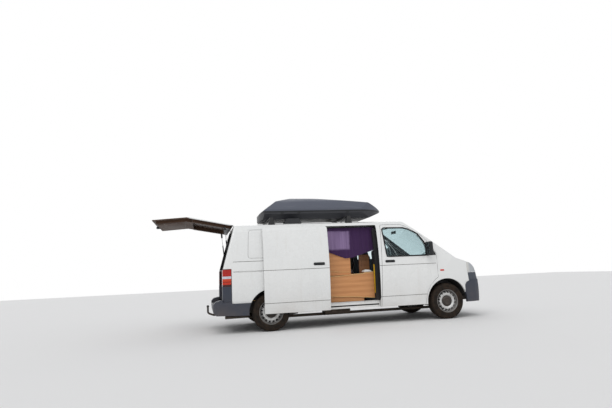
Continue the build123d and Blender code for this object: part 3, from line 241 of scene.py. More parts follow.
def metalFinish(name, colour, roughness, metallic, rust=0.0, brushed=(1, 1, 1)):
    f = Finish(name, {"Metallic": metallic})
    grime = f.between(f.noise(9, 6), 0.42, 0.7)
    spots = f.between(f.noise(38, 5), 0.60, 0.72)
    base = f.blend(grime * 0.5, colour, tinted(colour, 0.55))
    base = f.blend(spots * rust, base, (0.20, 0.085, 0.035))
    lines = f.noise(60, 3, brushed)
    return f.set(Base_Color=dustedAndShaded(f, base, 0.8),
                 Roughness=f.between(grime + lines * 0.3, 0, 1.3, roughness, roughness + 0.25),
                 Normal=f.relief(lines, 0.15, 0.0008))


def glassFinish(name, tint, shade, haze, gloss=0.55, roughness=0.04):
    f = Finish(name, {"Roughness": roughness, "Base Color": tint, "IOR": 1.5, "Specular IOR Level": 0.7})
    clear = f.tree.nodes.new("ShaderNodeBsdfTransparent")
    clear.inputs["Color"].default_value = (*shade, 1)
    film = f.between(f.noise(6, 5), 0.4, 0.8, haze, haze * 2)
    facing = f.node("ShaderNodeLayerWeight", {}, {"Blend": 0.5}, 1)
    mix = f.tree.nodes.new("ShaderNodeMixShader")
    f.feed(mix.inputs[0], film + facing * facing * facing * facing * gloss)
    f.tree.links.new(clear.outputs[0], mix.inputs[1])
    f.tree.links.new(f.shader.outputs[0], mix.inputs[2])
    f.tree.links.new(mix.outputs[0], f.tree.nodes["Material Output"].inputs["Surface"])
    return f.material


def woodFinish(name, light, dark, bands=3.2, fibreScale=60):
    f = Finish(name, {"Specular IOR Level": 0.35, "Coat Weight": 0.15, "Coat Roughness": 0.35})
    drift = f.noise(0.7, 2, (0.6, 2, 3))
    rings = f.waves("Z", {"Vector": f.stretched((0.10, 0.4, 1.0)), "Scale": bands, "Distortion": 5.0, "Detail": 3.0,
                          "Detail Scale": 0.8})
    fibre = f.noise(fibreScale, 5, (0.05, 1, 1))
    knots = f.cells(2.1, (0.8, 1, 2.0))
    knot = 1 - f.between(knots, 0.02, 0.07)
    half = tuple((a + b) / 2 for a, b in zip(light, dark))
    tone = f.ramp(rings * 0.22 + fibre * 0.62 + drift * 0.28, [(0.15, dark), (0.5, half), (0.85, light)])
    tone = f.blend(knot * 0.75, tone, tinted(dark, 0.35))
    return f.set(Base_Color=tone, Roughness=f.between(fibre, 0.3, 0.7, 0.42, 0.62),
                 Normal=f.relief(fibre + rings * 0.4, 0.25, 0.0015))


def clothFinish(name, colour, weave=900.0, second=None, sheen=0.3, roughness=0.9):
    f = Finish(name, {"Roughness": roughness, "Sheen Weight": sheen, "Specular IOR Level": 0.15})
    warp, weft = (f.waves(way, {"Vector": f.place, "Scale": weave / 6.28}) for way in "XZ")
    wool = f.noise(120, 4)
    base = f.blend(f.between(f.noise(4, 4), 0.35, 0.7) * 0.6, colour, second or tinted(colour, 0.7))
    base = f.blend(wool * 0.3, base, tinted(colour, 1.5))
    return f.set(Base_Color=base, Normal=f.relief(warp * weft + wool * 0.5, 0.35, 0.0008))


def distance(across, along):
    return (across * across + along * along).shaped("SQRT")


tyreLook = {"rubber": (0.013, 0.012, 0.011), "dust": (0.055, 0.037, 0.026), "slot": (0.012, 0.011, 0.010),
            "blocks": 58, "slotShare": 0.2, "skew": 22, "grooveFrom": 0.312, "wall": 0.275, "wallHalf": 0.04}


def tyreFinish(name, x):
    f = Finish(name, {"Specular IOR Level": 0.08})
    radius = distance(f.x - x, f.z - hubHeight)
    angle = (f.z - hubHeight).shaped("ARCTAN2", f.x - x)
    tread = f.between(radius, tyreLook["grooveFrom"], tyreLook["grooveFrom"] + 0.004)
    skew = abs(f.y) * tyreLook["skew"]
    blocks = (angle * (tyreLook["blocks"] / 6.2832) + skew).shaped("FRACT")
    slots = (blocks < tyreLook["slotShare"]) * tread
    dirt = f.between(f.noise(14, 6), 0.35, 0.65)
    wallBand = f.between(abs(radius - tyreLook["wall"]), 0.0, tyreLook["wallHalf"])
    base = f.blend(dirt * 0.55 + wallBand * 0.15, tyreLook["rubber"], tyreLook["dust"])
    base = f.blend(slots, base, tyreLook["slot"])
    ribs = (radius * 900).shaped("SINE")
    height = (1 - slots) * 0.9 + f.noise(260, 3) * 0.12 + ribs * 0.03
    return f.set(Base_Color=base, Roughness=f.between(dirt, 0, 1, 0.72, 0.95), Normal=f.relief(height, 0.8, 0.006))


rimLook = {"cap": 0.104, "ring": 0.149, "dark": 0.188, "silver": (0.60, 0.60, 0.59), "steel": (0.030, 0.030, 0.033),
           "lip": (0.20, 0.195, 0.19), "dust": (0.11, 0.078, 0.055), "holes": 16, "holeRing": 0.169, "holeEdge": 0.0175}


def rimFinish(name, x):
    f = Finish(name, {"Metallic": 0.55})
    radius = distance(f.x - x, f.z - hubHeight)
    silver = (radius > rimLook["cap"]) * (radius < rimLook["ring"])
    edge = radius > rimLook["dark"]
    part = (f.z - hubHeight).shaped("ARCTAN2", f.x - x) * (rimLook["holes"] / math.tau) + 100.5  # never below nought
    across = (part.shaped("FRACT") - 0.5) * (math.tau / rimLook["holes"] * rimLook["holeRing"])
    along = radius - rimLook["holeRing"]
    nearHole = distance(across, along) < rimLook["holeEdge"]
    dirt = f.between(f.noise(16, 6), 0.4, 0.72)
    # the black steel colour is the centre's own black; from the silver ring out to the lip it is painted shade on the
    # concave disc
    base = f.blend(silver, rimLook["steel"], rimLook["silver"])
    base = f.blend(nearHole, base, rimLook["silver"])
    base = f.blend(edge, base, rimLook["lip"])
    base = f.blend(dirt * 0.35, base, rimLook["dust"])
    return f.set(Base_Color=base, Roughness=f.between(dirt, 0, 1, 0.32, 0.7),
                 Normal=f.relief(f.noise(180, 3), 0.15, 0.001))


tailLampLook = {"low": 0.815, "high": 1.112, "edge": (0.735, 0.752), "rim": (0.012, 0.012, 0.013), "bands": [
    (0.0, (0.012, 0.011, 0.011)), (0.10, (0.012, 0.011, 0.011)), (0.12, (0.56, 0.030, 0.008)),
    (0.24, (0.58, 0.034, 0.008)), (0.26, (0.05, 0.010, 0.006)), (0.30, (0.60, 0.045, 0.010)),
    (0.44, (0.62, 0.06, 0.012)), (0.46, (0.62, 0.66, 0.74)), (0.58, (0.66, 0.70, 0.78)),
    (0.60, (0.46, 0.014, 0.008)), (0.97, (0.40, 0.011, 0.007)), (1.0, (0.03, 0.012, 0.011))]}


def tailLampFinish():
    f = Finish("tail_lamp", {"Roughness": 0.2, "Specular IOR Level": 0.25, "Coat Weight": 0.12, "Coat Roughness": 0.05})
    bands = f.ramp(f.between(f.z, tailLampLook["low"], tailLampLook["high"]), tailLampLook["bands"])
    edge = f.between(abs(f.y), *tailLampLook["edge"])
    ribs = (f.z * 900).shaped("SINE") + (f.x * 700).shaped("SINE")
    facets = f.cells(46)
    base = f.blend(edge, tailLampLook["rim"], bands)
    base = f.blend(facets * 0.25, base, (0.20, 0.01, 0.006))
    return f.set(Base_Color=dustedAndShaded(f, base, 0.35), Normal=f.relief(ribs * 0.3 + facets, 0.35, 0.0015))


headLook = {"main": (0.74, 0.965, 0.070), "dip": (0.60, 0.955, 0.052), "sideFrom": 0.470, "sideTo": 0.560, "bulb": 0.16,
            "mirror": [(0.0, (0.86, 0.87, 0.88)), (0.45, (0.42, 0.44, 0.46)), (1.0, (0.78, 0.79, 0.80))]}


def headLampFinish():
    f = Finish("head_lamp", {"Coat Weight": 1.0, "Coat Roughness": 0.03})
    bowls = []
    for y, z, reach in (headLook["main"], headLook["dip"]):
        away = distance(abs(f.y) - y, f.z - z)
        bowls.append((away < reach, f.between(away, 0.0, reach)))
    (inMain, main), (inDip, dip) = bowls
    inside, bowl = inMain.shaped("MAXIMUM", inDip), main.shaped("MINIMUM", dip)
    flutes = (f.y * 420).shaped("SINE")
    # painted reflection: the reflector bowls are painted as rings of light and dark grey
    base = f.blend(inside, (0.34, 0.36, 0.38), f.ramp(bowl, headLook["mirror"]))
    base = f.blend(bowl < headLook["bulb"], base, (0.9, 0.86, 0.72))
    side = f.between(f.x, axleX + headLook["sideFrom"], axleX + headLook["sideTo"])
    base = f.blend(side, (0.62, 0.60, 0.56), base)
    return f.set(Base_Color=base, Metallic=inside * 0.7, Roughness=f.between(f.noise(8, 4), 0.3, 0.8, 0.08, 0.2),
                 Normal=f.relief(bowl * 3 + flutes * 0.04, 0.6, 0.004))


def liningFinish(name, colour, felt=260.0):
    f = Finish(name, {"Roughness": 0.95, "Specular IOR Level": 0.1, "Sheen Weight": 0.2})
    wool = f.noise(felt, 5)
    stain = f.between(f.noise(2.3, 5), 0.35, 0.7)
    base = f.blend(stain * 0.5, colour, tinted(colour, 0.6))
    return f.set(Base_Color=f.blend(wool * 0.35, base, tinted(colour, 1.7)),
                 Normal=f.relief(wool, 0.5, 0.002))


def boxFinish(name, colour):
    f = Finish(name, {"Coat Weight": 0.05, "Coat Roughness": 0.3, "Specular IOR Level": 0.3})
    # painted highlight: the box is painted lighter towards its top
    paintedTopLight = f.between(f.z, 2.2, 2.46)
    scratches = f.between(f.noise(6, 5, (0.4, 6, 6)), 0.56, 0.7)
    base = f.blend(paintedTopLight * 0.5, colour, tinted(colour, 1.35))
    base = f.blend(scratches * 0.35, base, tuple(c + 0.07 for c in colour))
    grain = f.cells(700)
    return f.set(Base_Color=base, Roughness=f.between(f.noise(4, 5), 0.3, 0.75, 0.34, 0.55),
                 Normal=f.relief(grain, 0.3, 0.0008))


finishes = {
    "paint": paintFinish(),
    "wing": wingFinish((0.046, 0.053, 0.072)),
    "trim": plasticFinish("bumper_plastic", (0.046, 0.053, 0.072), 0.5),
    "glass": glassFinish("window_glass", (0.30, 0.36, 0.38), (0.88, 0.945, 0.955), 0.03),
    "darkGlass": glassFinish("privacy_glass", (0.040, 0.027, 0.020), (0.26, 0.22, 0.20), 0.30, 0.25, 0.2),
    "blackPlastic": plasticFinish("black_plastic", (0.020, 0.021, 0.023), 0.42),
    "rubber": plasticFinish("seal_rubber", (0.014, 0.014, 0.015), 0.72, 500),
    "floor": metalFinish("underbody_coat", (0.040, 0.041, 0.043), 0.6, 0.1, 0.25),
    "castMetal": metalFinish("cast_engine", (0.30, 0.30, 0.30), 0.45, 0.8, 0.15),
    "steel": metalFinish("dull_steel", (0.36, 0.355, 0.345), 0.38, 0.9, 0.35),
    # the exhaust is dark from rust and from painted shade under the van
    "oldSteelAndShade": metalFinish("exhaust_steel_and_shade", (0.075, 0.065, 0.056), 0.6, 0.5, 0.8),
    "aluminium": metalFinish("sill_aluminium", (0.72, 0.72, 0.71), 0.32, 0.85, 0.0, (0.1, 1, 1)),
    "chassis": metalFinish("chassis_black", (0.030, 0.030, 0.032), 0.5, 0.2, 0.4),
    "chrome": metalFinish("polished_rod", (0.30, 0.30, 0.31), 0.25, 1.0),
    "blackSteel": metalFinish("black_steel", (0.018, 0.018, 0.019), 0.35, 0.3),
    "dash": plasticFinish("dashboard_grain", (0.050, 0.052, 0.058), 0.6, 420, 0.0, 0.15),
    "seatCloth": clothFinish("seat_cloth", (0.060, 0.066, 0.082), 700, (0.035, 0.038, 0.05)),
    "seatSide": clothFinish("seat_bolster", (0.030, 0.031, 0.035), 500),
    "pine": woodFinish("oiled_pine", (0.68, 0.325, 0.130), (0.42, 0.165, 0.055)),
    "wane": woodFinish("pale_wane", (0.74, 0.50, 0.22), (0.52, 0.30, 0.11)),
    "slats": woodFinish("dark_pine", (0.30, 0.135, 0.055), (0.15, 0.060, 0.024)),
    "bedding": clothFinish("bed_cover", (0.30, 0.28, 0.32), 400, (0.20, 0.19, 0.24)),
    "pillow": clothFinish("pillow_case", (0.74, 0.73, 0.70), 900, (0.66, 0.66, 0.66), 0.15),
    "ventPlastic": plasticFinish("vent_plastic", (0.030, 0.031, 0.034), 0.5),
    "boxBase": boxFinish("roof_box_base_skin", (0.026, 0.027, 0.032)),
    "boxLid": boxFinish("roof_box_lid_skin", (0.085, 0.093, 0.120)),
    "tailLamp": tailLampFinish(),
    "headLamp": headLampFinish(),
    "lining": liningFinish("grey_lining", (0.085, 0.083, 0.082)),
    "headliner": liningFinish("roof_lining", (0.30, 0.295, 0.28)),
    "brownLiningAndShade": liningFinish("tailgate_lining_and_shade", (0.072, 0.040, 0.025), 90),
    "doorCard": plasticFinish("door_card", (0.060, 0.062, 0.068), 0.65, 380, 0.0),
    "groove": plasticFinish("groove_shadow", (0.16, 0.15, 0.14), 0.8, 300, 0.5, 0.2),
    "plate": plasticFinish("blank_plate", (0.78, 0.78, 0.75), 0.35, 1500, 0.6, 0.1),
    "yellow": plasticFinish("yellow_paint", (0.92, 0.52, 0.02), 0.45, 600, 0.15, 0.3),
    "redLens": plasticFinish("red_lens", (0.62, 0.035, 0.012), 0.15, 300, 0.1, 0.1),
    "mirrorGlass": metalFinish("mirror_silver", (0.86, 0.88, 0.90), 0.03, 1.0),
    "mat": plasticFinish("floor_mat", (0.060, 0.063, 0.070), 0.8, 260, 0.5),
}
print("finishes", len(finishes))


def curtainFinish():
    look = {"purple": (0.050, 0.019, 0.076), "lit": (0.32, 0.225, 0.40), "thread": (0.09, 0.045, 0.12),
            "paneFront": -1825, "paneTop": 1.745, "paneLow": 1.400}
    f = Finish("curtain_cloth", {"Roughness": 0.9, "Sheen Weight": 0.35, "Specular IOR Level": 0.1})
    ragged = (f.noise(9, 4) - 0.5) * 0.05
    paneX = axleX + look["paneFront"] / 1000
    front = 1 - f.between(f.x + ragged, paneX - 0.025, paneX + 0.010)
    top = 1 - f.between(f.z + ragged * 0.5, look["paneTop"] - 0.012, look["paneTop"] + 0.012)
    low = f.between(f.z + ragged * 0.5, look["paneLow"] - 0.02, look["paneLow"] + 0.02)
    # painted shade darkens the cloth along vertical folds, and the lit colour is a painted patch of window light
    # showing through the cloth
    fold = f.between(f.noise(1.6, 3, (9, 1, 0.4)), 0.3, 0.7)
    weave = f.noise(420, 2)
    light = front * top * low * f.between(fold, 0, 1, 0.55, 1.0)
    base = f.blend(fold * 0.5, look["purple"], tinted(look["purple"], 0.6))
    base = f.blend(light, base, look["lit"])
    return f.set(Base_Color=f.blend(weave * 0.25, base, look["thread"]), Normal=f.relief(weave, 0.4, 0.0012))


finishes["curtain"] = curtainFinish()
tyreFinishes = {"front": tyreFinish("tyre_rubber_front", axleX), "rear": tyreFinish("tyre_rubber_rear", rearAxleX)}
rimFinishes = {"front": rimFinish("wheel_steel_front", axleX), "rear": rimFinish("wheel_steel_rear", rearAxleX)}

# Finishes of the frame's own pieces
wornBy = {
    "paint": "side_frame_right side_frame_left roof_panel bonnet door_right door_left sliding_door tailgate inner_front",
    "wing": "front_wings",
    "trim": "front_bumper rear_bumper",
    "glass": "fixed_glass door_glass_right door_glass_left",
    "darkGlass": "tailgate_glass",
    "headLamp": "headlamps",
    "tailLamp": "tail_lamps",
    "blackPlastic": "scuttle mirror_right mirror_left grille fuel_tank steering_wheel",
    "floor": "floor_pan",
    "castMetal": "engine_block",
    "oldSteelAndShade": "exhaust",
    "chassis": "front_subframe knuckle_right knuckle_left rear_axle",
    "blackSteel": "tow_bar roof_bars strut_tube_right strut_tube_left",
    "chrome": "strut_rod_right strut_rod_left",
    "dash": "dashboard",
    "pine": "bed_box cabinet",
    "ventPlastic": "roof_vent",
    "boxBase": "roof_box_base",
    "boxLid": "roof_box_lid",
}


def onSkin(node, start, direction, lift=0.0):  # the first point of a frame piece along a line, in metres
    hit, place, normal, face = nodes[node].ray_cast(start, direction)
    return place + normal * lift if hit else None


def onSide(node, x, z, sign, lift=0.0):
    return onSkin(node, at(x, sign * farSide, z), Vector((0, -sign, 0)), lift)


def dress(name, material):
    mesh = nodes[name].data
    mesh.materials.clear()
    mesh.materials.append(material)
    for face in mesh.polygons:
        face.material_index = 0


def fromAxle(place):
    return (place.x - axleX) * 1000, place.y * 1000, place.z * 1000


def dressFaces(name, finish, chosen):
    mesh = nodes[name].data
    mesh.materials.append(finishes[finish])
    for face in mesh.polygons:
        if chosen(face, mesh.vertices):
            face.material_index = len(mesh.materials) - 1


def dressPart(name, finish, belongs):  # the faces whose middle and normal pass a test get another finish
    dressFaces(name, finish, lambda face, points: belongs(*fromAxle(face.center), face.normal))


def dressWhole(name, finish, holds):  # the faces whose every corner passes a test
    dressFaces(name, finish, lambda face, points: all(holds(*fromAxle(points[i].co)) for i in face.vertices))


pressedLook = {"lines": (1062, 490), "high": 1237, "half": 4.8}


# painted shadow: every face of a pressed groove gets the grey-brown groove finish
def shadeGrooveLine(name, height):
    dressWhole(name, "groove", lambda x, y, z: abs(z - height) < pressedLook["half"])


for finish, names in wornBy.items():
    for name in names.split():
        dress(name, finishes[finish])
for end, side, sign, centre in wheels:
    dress("rim_%s_%s" % (end, side), rimFinishes[end])


skinLook = {"x": -2650, "range": (330, 1860)}


def skinDepth(y, z, sign):  # how far a place lies behind the van's side, in millimetres
    place = onSide("side_frame_left", skinLook["x"], held(z, *skinLook["range"]), 1)
    return place.y * 1000 - y * sign if place else 0


def shutPlace(x, z):  # where a place on the raised tailgate lies when shut
    dx, dz = x - hingeX, z - hingeZ
    return hingeX + dx * hingeTurn - dz * hingeRise, hingeZ + dx * hingeRise + dz * hingeTurn


pillar = {"rear": -1440, "front": -1236, "depth": 22, "low": 430}
doorway = {"rear": -2575, "front": -1340, "top": 1790, "inner": 790}
tailPost = {"front": -3990, "low": 800, "depth": 36}
doorHandle = {"rear": -1228, "front": -1024, "low": 1109, "high": 1163, "side": 900}
slidingHandle = {"rear": -2627, "front": -2405, "low": 1115, "high": 1172, "side": 975}
sillLook = {"rear": -3050, "front": 0, "side": 840, "top": 424}
niche = {"rear": -1606, "low": 958, "side": -530}
liningDepth, inward = 12, 0.25  # how deep a lining starts, and how far its normals turn inwards


def onHandle(look):
    return lambda x, y, z, n: (look["rear"] < x < look["front"] and look["low"] < z < look["high"]
                               and abs(y) > look["side"])


for side, sign in flanks:
    frameName, doorName = "side_frame_" + side, "door_" + side
    dressPart(frameName, "lining", lambda x, y, z, n: n.y * sign < -inward and skinDepth(y, z, sign) > liningDepth)
    dressPart(frameName, "rubber", lambda x, y, z, n: pillar["rear"] < x < pillar["front"]
              and z > pillar["low"] and skinDepth(y, z, sign) > pillar["depth"])
    # painted shadow: the underside of the sliding doorway's header is given black rubber
    dressPart(frameName, "rubber", lambda x, y, z, n: doorway["rear"] < x < doorway["front"]
              and z > doorway["top"] and abs(y) < doorway["inner"] and n.z < 0.5)
    # the rear door post's jamb is black: partly its seal, partly painted shade on body-coloured metal
    dressPart(frameName, "rubber", lambda x, y, z, n: x < tailPost["front"] and z > tailPost["low"]
              and skinDepth(y, z, sign) > tailPost["depth"])
    dressPart(doorName, "doorCard", lambda x, y, z, n: n.y * sign < -inward)
    dressPart(doorName, "blackPlastic", onHandle(doorHandle))
    for height in pressedLook["lines"]:
        shadeGrooveLine(frameName, height)
        shadeGrooveLine(doorName, height)
    shadeGrooveLine(frameName, pressedLook["high"])
dressPart("sliding_door", "doorCard", lambda x, y, z, n: n.y > inward)
dressPart("sliding_door", "blackPlastic", onHandle(slidingHandle))
for height in pressedLook["lines"]:
    shadeGrooveLine("sliding_door", height)
dressPart("floor_pan", "paint", lambda x, y, z, n: sillLook["rear"] < x < sillLook["front"]
          and abs(y) > sillLook["side"] and z < sillLook["top"] and abs(n.y) > 0.5)
dressPart("roof_panel", "headliner", lambda x, y, z, n: n.z < -inward)
dressPart("bed_box", "slats", lambda x, y, z, n: x > niche["rear"] and z > niche["low"] and y > niche["side"])
tailLook = {"half": 700, "flange": 721, "fold": 1120, "low": 530, "hingeEnd": -3985,
            "bracket": {"rear": -4196, "front": -4153, "inner": 674, "outer": 730, "top": 1882}}


def inTail(test):
    return lambda x, y, z, n: test(*shutPlace(x, z), abs(y), n)


def onBracket(x, y, z):  # the strut brackets and the hinge end of the raised tailgate
    look = tailLook["bracket"]
    bracket = look["rear"] < x < look["front"] and look["inner"] < abs(y) < look["outer"] and z < look["top"]
    return bracket or shutPlace(x, z)[0] > tailLook["hingeEnd"]


# dark brown: the tailgate's own inner lining, and on the side flanges and edges of its lower half painted shade
dressPart("tailgate", "brownLiningAndShade", lambda x, y, z, n: n.z < -0.3 or (n.z < 0.3 and abs(y) < tailLook["half"]))
dressPart("tailgate", "brownLiningAndShade", inTail(lambda x, z, y, n: z < tailLook["fold"] and n.z < 0.6))
dressPart("tailgate", "brownLiningAndShade", lambda x, y, z, n: abs(n.y) > 0.9 and abs(y) < tailLook["flange"])
dressWhole("tailgate", "blackPlastic", onBracket)
dressPart("tailgate", "blackPlastic", inTail(lambda x, z, y, n: z < tailLook["low"] and n.z < 0.6))
print("frame pieces dressed")


# Modelling tools
def closeMesh():
    bpy.ops.object.mode_set(mode="OBJECT")


def startOver():
    if bpy.context.object and bpy.context.object.mode != "OBJECT":
        closeMesh()
    bpy.ops.object.select_all(action="DESELECT")
    bpy.context.tool_settings.mesh_select_mode = (True, False, False)


def choose(piece):
    startOver()
    piece.select_set(True)
    bpy.context.view_layer.objects.active = piece


def openWhole(piece):
    choose(piece)
    bpy.ops.object.mode_set(mode="EDIT")
    bpy.ops.mesh.select_all(action="SELECT")


def faceOut():
    bpy.ops.mesh.select_all(action="SELECT")
    bpy.ops.mesh.normals_make_consistent(inside=False)


def pick(piece, test, kind="points"):  # selects points or faces in code, by their place and normal
    choose(piece)
    mesh = piece.data
    for group in (mesh.polygons, mesh.edges, mesh.vertices):
        for element in group:
            element.select = False
    bpy.context.tool_settings.mesh_select_mode = (kind == "points", False, kind == "faces")
    if kind == "faces":
        for face in mesh.polygons:
            face.select = test(face.center, face.normal)
    else:
        for point in mesh.vertices:
            point.select = test(point.co, point.normal)
    bpy.ops.object.mode_set(mode="EDIT")


def shifted(piece, test, move):
    pick(piece, test)
    bpy.ops.transform.translate(value=move)
    closeMesh()
    return piece


def named(name):
    piece = bpy.context.object
    piece.name = name
    piece.data.name = name
    return piece


def boxBetween(name, low, high, bevel, segments=3):  # a block with rounded edges between two corners
    startOver()
    middle, size = (low + high) / 2, high - low
    bpy.ops.mesh.primitive_cube_add(size=1, location=middle, scale=[abs(v) for v in size])
    piece = named(name)
    bpy.ops.object.transform_apply(location=True, rotation=True, scale=True)
    openWhole(piece)
    bpy.ops.mesh.bevel(offset=bevel, segments=segments, profile=0.5)
    closeMesh()
    return piece


def blockAt(name, ends, bevel, segments=2):
    low, high = ends
    return boxBetween(name, at(*low), at(*high), bevel, segments)


def slab(name, look, y, bevel, segments=3):  # a block about a line at y
    half, (rear, low), (front, high) = look  # half its width, its lower rear edge and its upper front edge
    return boxBetween(name, at(rear, y - half, low), at(front, y + half, high), bevel, segments)


def trace(name, points):  # a line of edges, drawn by extruding one point
    startOver()
    bpy.ops.mesh.primitive_plane_add(size=0.01, location=points[0])
    piece = named(name)
    bpy.ops.object.transform_apply(location=True, rotation=True, scale=True)
    openWhole(piece)
    bpy.ops.mesh.merge(type="CENTER")
    for first, second in zip(points, points[1:]):
        bpy.ops.mesh.extrude_vertices_move(TRANSFORM_OT_translate={"value": second - first})
    closeMesh()
    return piece


def plate(name, points, depth, bevel=0.0):  # a closed outline, filled and pulled along a direction
    piece = trace(name, points)
    openWhole(piece)
    bpy.ops.mesh.edge_face_add()
    bpy.ops.mesh.extrude_region_move(TRANSFORM_OT_translate={"value": depth})
    faceOut()
    if bevel:
        bpy.ops.mesh.bevel(offset=bevel, segments=2, profile=0.5)
        faceOut()
    closeMesh()
    return piece


def tube(name, points, radius, closed=False):  # a round bead along a line
    piece = trace(name, points)
    if closed:
        ends = (points[0], points[-1])
        pick(piece, lambda co, n: min((co - end).length for end in ends) < 1e-5)
        bpy.ops.mesh.edge_face_add()
        closeMesh()
    bpy.ops.object.convert(target="CURVE")
    line = bpy.context.object.data
    line.bevel_depth = radius
    line.bevel_resolution = 2
    line.use_fill_caps = True
    bpy.ops.object.convert(target="MESH")
    return named(name)


def spun(name, profile, centre, steps):  # a line turned all the way round an axle that points sideways
    piece = trace(name, profile)
    openWhole(piece)
    bpy.ops.mesh.spin(steps=steps, angle=math.tau, center=centre, axis=(0, 1, 0))
    bpy.ops.mesh.select_all(action="SELECT")
    bpy.ops.mesh.remove_doubles(threshold=1e-5)
    faceOut()
    closeMesh()
    return piece


def copyOf(piece, name, change):  # its own mesh, every point passed through a change
    startOver()
    double = piece.copy()
    double.data = piece.data.copy()
    double.name = name
    double.data.name = name
    bpy.context.collection.objects.link(double)
    for point in double.data.vertices:
        point.co = change(point.co)
    return double


def turnedOut(piece):
    openWhole(piece)
    faceOut()
    closeMesh()
    return piece


def mirrorTo(piece, name):
    return turnedOut(copyOf(piece, name, acrossMiddle))


def joinAll(name, pieces):
    startOver()
    for piece in pieces:
        piece.select_set(True)
    bpy.context.view_layer.objects.active = pieces[0]
    if len(pieces) > 1:
        bpy.ops.object.join()
    return named(name)


def done(piece, body="body", finish="blackPlastic", slot="black_plastic", smooth=35):
    choose(piece)
    bpy.ops.object.transform_apply(location=True, rotation=True, scale=True)
    bpy.ops.object.shade_smooth_by_angle(angle=math.radians(smooth))
    piece.data.materials.clear()
    piece.data.materials.append(finishes[finish] if isinstance(finish, str) else finish)
    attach(piece, body)


def found(points):  # without the places where a line missed
    return [point for point in points if point]


def corners(left, low, right, high):
    return [(left, low), (right, low), (right, high), (left, high)]


def finely(points, step):  # points added along straight stretches of a closed outline
    out = []
    for (xa, za), (xb, zb) in zip(points, points[1:] + points[:1]):
        count = max(1, round(math.hypot(xb - xa, zb - za) / step))
        out += [(xa + (xb - xa) * i / count, za + (zb - za) * i / count) for i in range(count)]
    return out


def rounded(points, radius, steps=4):  # an outline whose corners become arcs
    out = []
    count = len(points)
    for i, corner in enumerate(points):
        before, after = Vector(points[i - 1]), Vector(points[(i + 1) % count])
        here = Vector(corner)
        a = here + (before - here).normalized() * min(radius, (before - here).length / 2)
        b = here + (after - here).normalized() * min(radius, (after - here).length / 2)
        for k in range(steps + 1):
            t = k / steps
            out.append(tuple(a * (1 - t) ** 2 + here * 2 * t * (1 - t) + b * t * t))
    return out


# Tyres: turned rubber with four grooves round the tread
tyreShape = {"half": 102.5, "steps": 96, "radius": 336, "crown": 5, "grooveDepth": 7, "grooves": (-58, -20, 20, 58),
             "grooveHalf": 4.5, "grooveSlope": 1.5,
             "wall": [(206, 83), (218, 86), (225, 94), (236, 98), (240, 101), (244, 99), (262, 102), (275, 102.5),
                      (296, 99), (312, 94), (324, 86), (331, 78)]}


def tyreProfile():
    crown = []
    edge, slope = tyreShape["grooveHalf"], tyreShape["grooveSlope"]
    for middle in reversed(tyreShape["grooves"]):
        for across, depth in ((middle + edge, 0), (middle + edge - slope, 1),
                              (middle - edge + slope, 1), (middle - edge, 0)):
            drop = (across / tyreShape["half"]) ** 2 * tyreShape["crown"] + depth * tyreShape["grooveDepth"]
            crown.append((tyreShape["radius"] - drop, across))
    return tyreShape["wall"] + crown + [(r, -a) for r, a in reversed(tyreShape["wall"])]


for end, side, sign, centre in wheels:
    profile = [centre + Vector((0, a / 1000, -r / 1000)) for r, a in tyreProfile()]
    tyre = spun("tyre_%s_%s_tread" % (end, side), profile, centre, tyreShape["steps"])
    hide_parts("tyre_%s_%s" % (end, side))
    done(tyre, "wheel_%s_%s" % (end, side), tyreFinishes[end], "tyre", 40)
print("tyres turned")

# Hub cap and valve of each wheel
wheelLook = {"capSteps": 48, "valveSteps": 12, "valvePlace": (45, 186),
             "cap": [(0.5, 81), (22, 81), (26, 78), (58, 77), (62, 79), (66, 77), (88, 70), (98, 62), (100, 56),
                     (96, 55), (0.5, 56)],
             "valve": [(0.2, 38), (3, 37), (3, 24), (4, 22), (4.5, -4), (0.2, -4)]}
for end, side, sign, centre in wheels:
    profile = [centre + Vector((0, sign * a / 1000, r / 1000)) for r, a in wheelLook["cap"]]
    done(spun("hub_cap_%s_%s" % (end, side), profile, centre, wheelLook["capSteps"]), "wheel_%s_%s" % (end, side))
    out, up = wheelLook["valvePlace"]
    foot = centre + Vector((0, sign * out / 1000, up / 1000))
    profile = [foot + Vector((0, sign * a / 1000, r / 1000)) for r, a in wheelLook["valve"]]
    done(spun("valve_%s_%s" % (end, side), profile, foot, wheelLook["valveSteps"]), "wheel_%s_%s" % (end, side), "rubber")
print("wheels finished")

# Padded goods
padLook = {"voxel": 0.012, "smooth": 6, "pressure": 4.0, "quality": 4, "cap": 0.014, "frames": 20}


def swell(piece, voxel, cap):  # remesh, press outwards as cloth, keep every point within a cap
    choose(piece)
    remesh = piece.modifiers.new("even", "REMESH")
    remesh.mode = "VOXEL"
    remesh.voxel_size = voxel
    bpy.ops.object.modifier_apply(modifier="even")
    even = piece.modifiers.new("even", "SMOOTH")
    even.iterations = padLook["smooth"]
    bpy.ops.object.modifier_apply(modifier="even")
    before = [point.co.copy() for point in piece.data.vertices]
    cloth = piece.modifiers.new("press", "CLOTH")
    cloth.settings.use_pressure = True
    cloth.settings.uniform_pressure_force = padLook["pressure"]
    cloth.settings.effector_weights.gravity = 0
    cloth.settings.quality = padLook["quality"]
    scene = bpy.context.scene
    for step in range(1, padLook["frames"] + 1):
        scene.frame_set(step)
    swollen = piece.evaluated_get(bpy.context.evaluated_depsgraph_get())
    after = [point.co.copy() for point in swollen.data.vertices]
    piece.modifiers.clear()
    scene.frame_set(1)
    for point, old, new in zip(piece.data.vertices, before, after):
        move = new - old
        point.co = old + (move if move.length < cap else move.normalized() * cap)


def channelled(piece, depth, lines):  # sewn channels pressed in along planes
    for point in piece.data.vertices:
        for axis, place, reach, where in lines:
            away = abs(point.co[axis] - place)
            if away < reach and where(point.co):
                point.co -= point.normal * depth * (1 - (away / reach) ** 2)


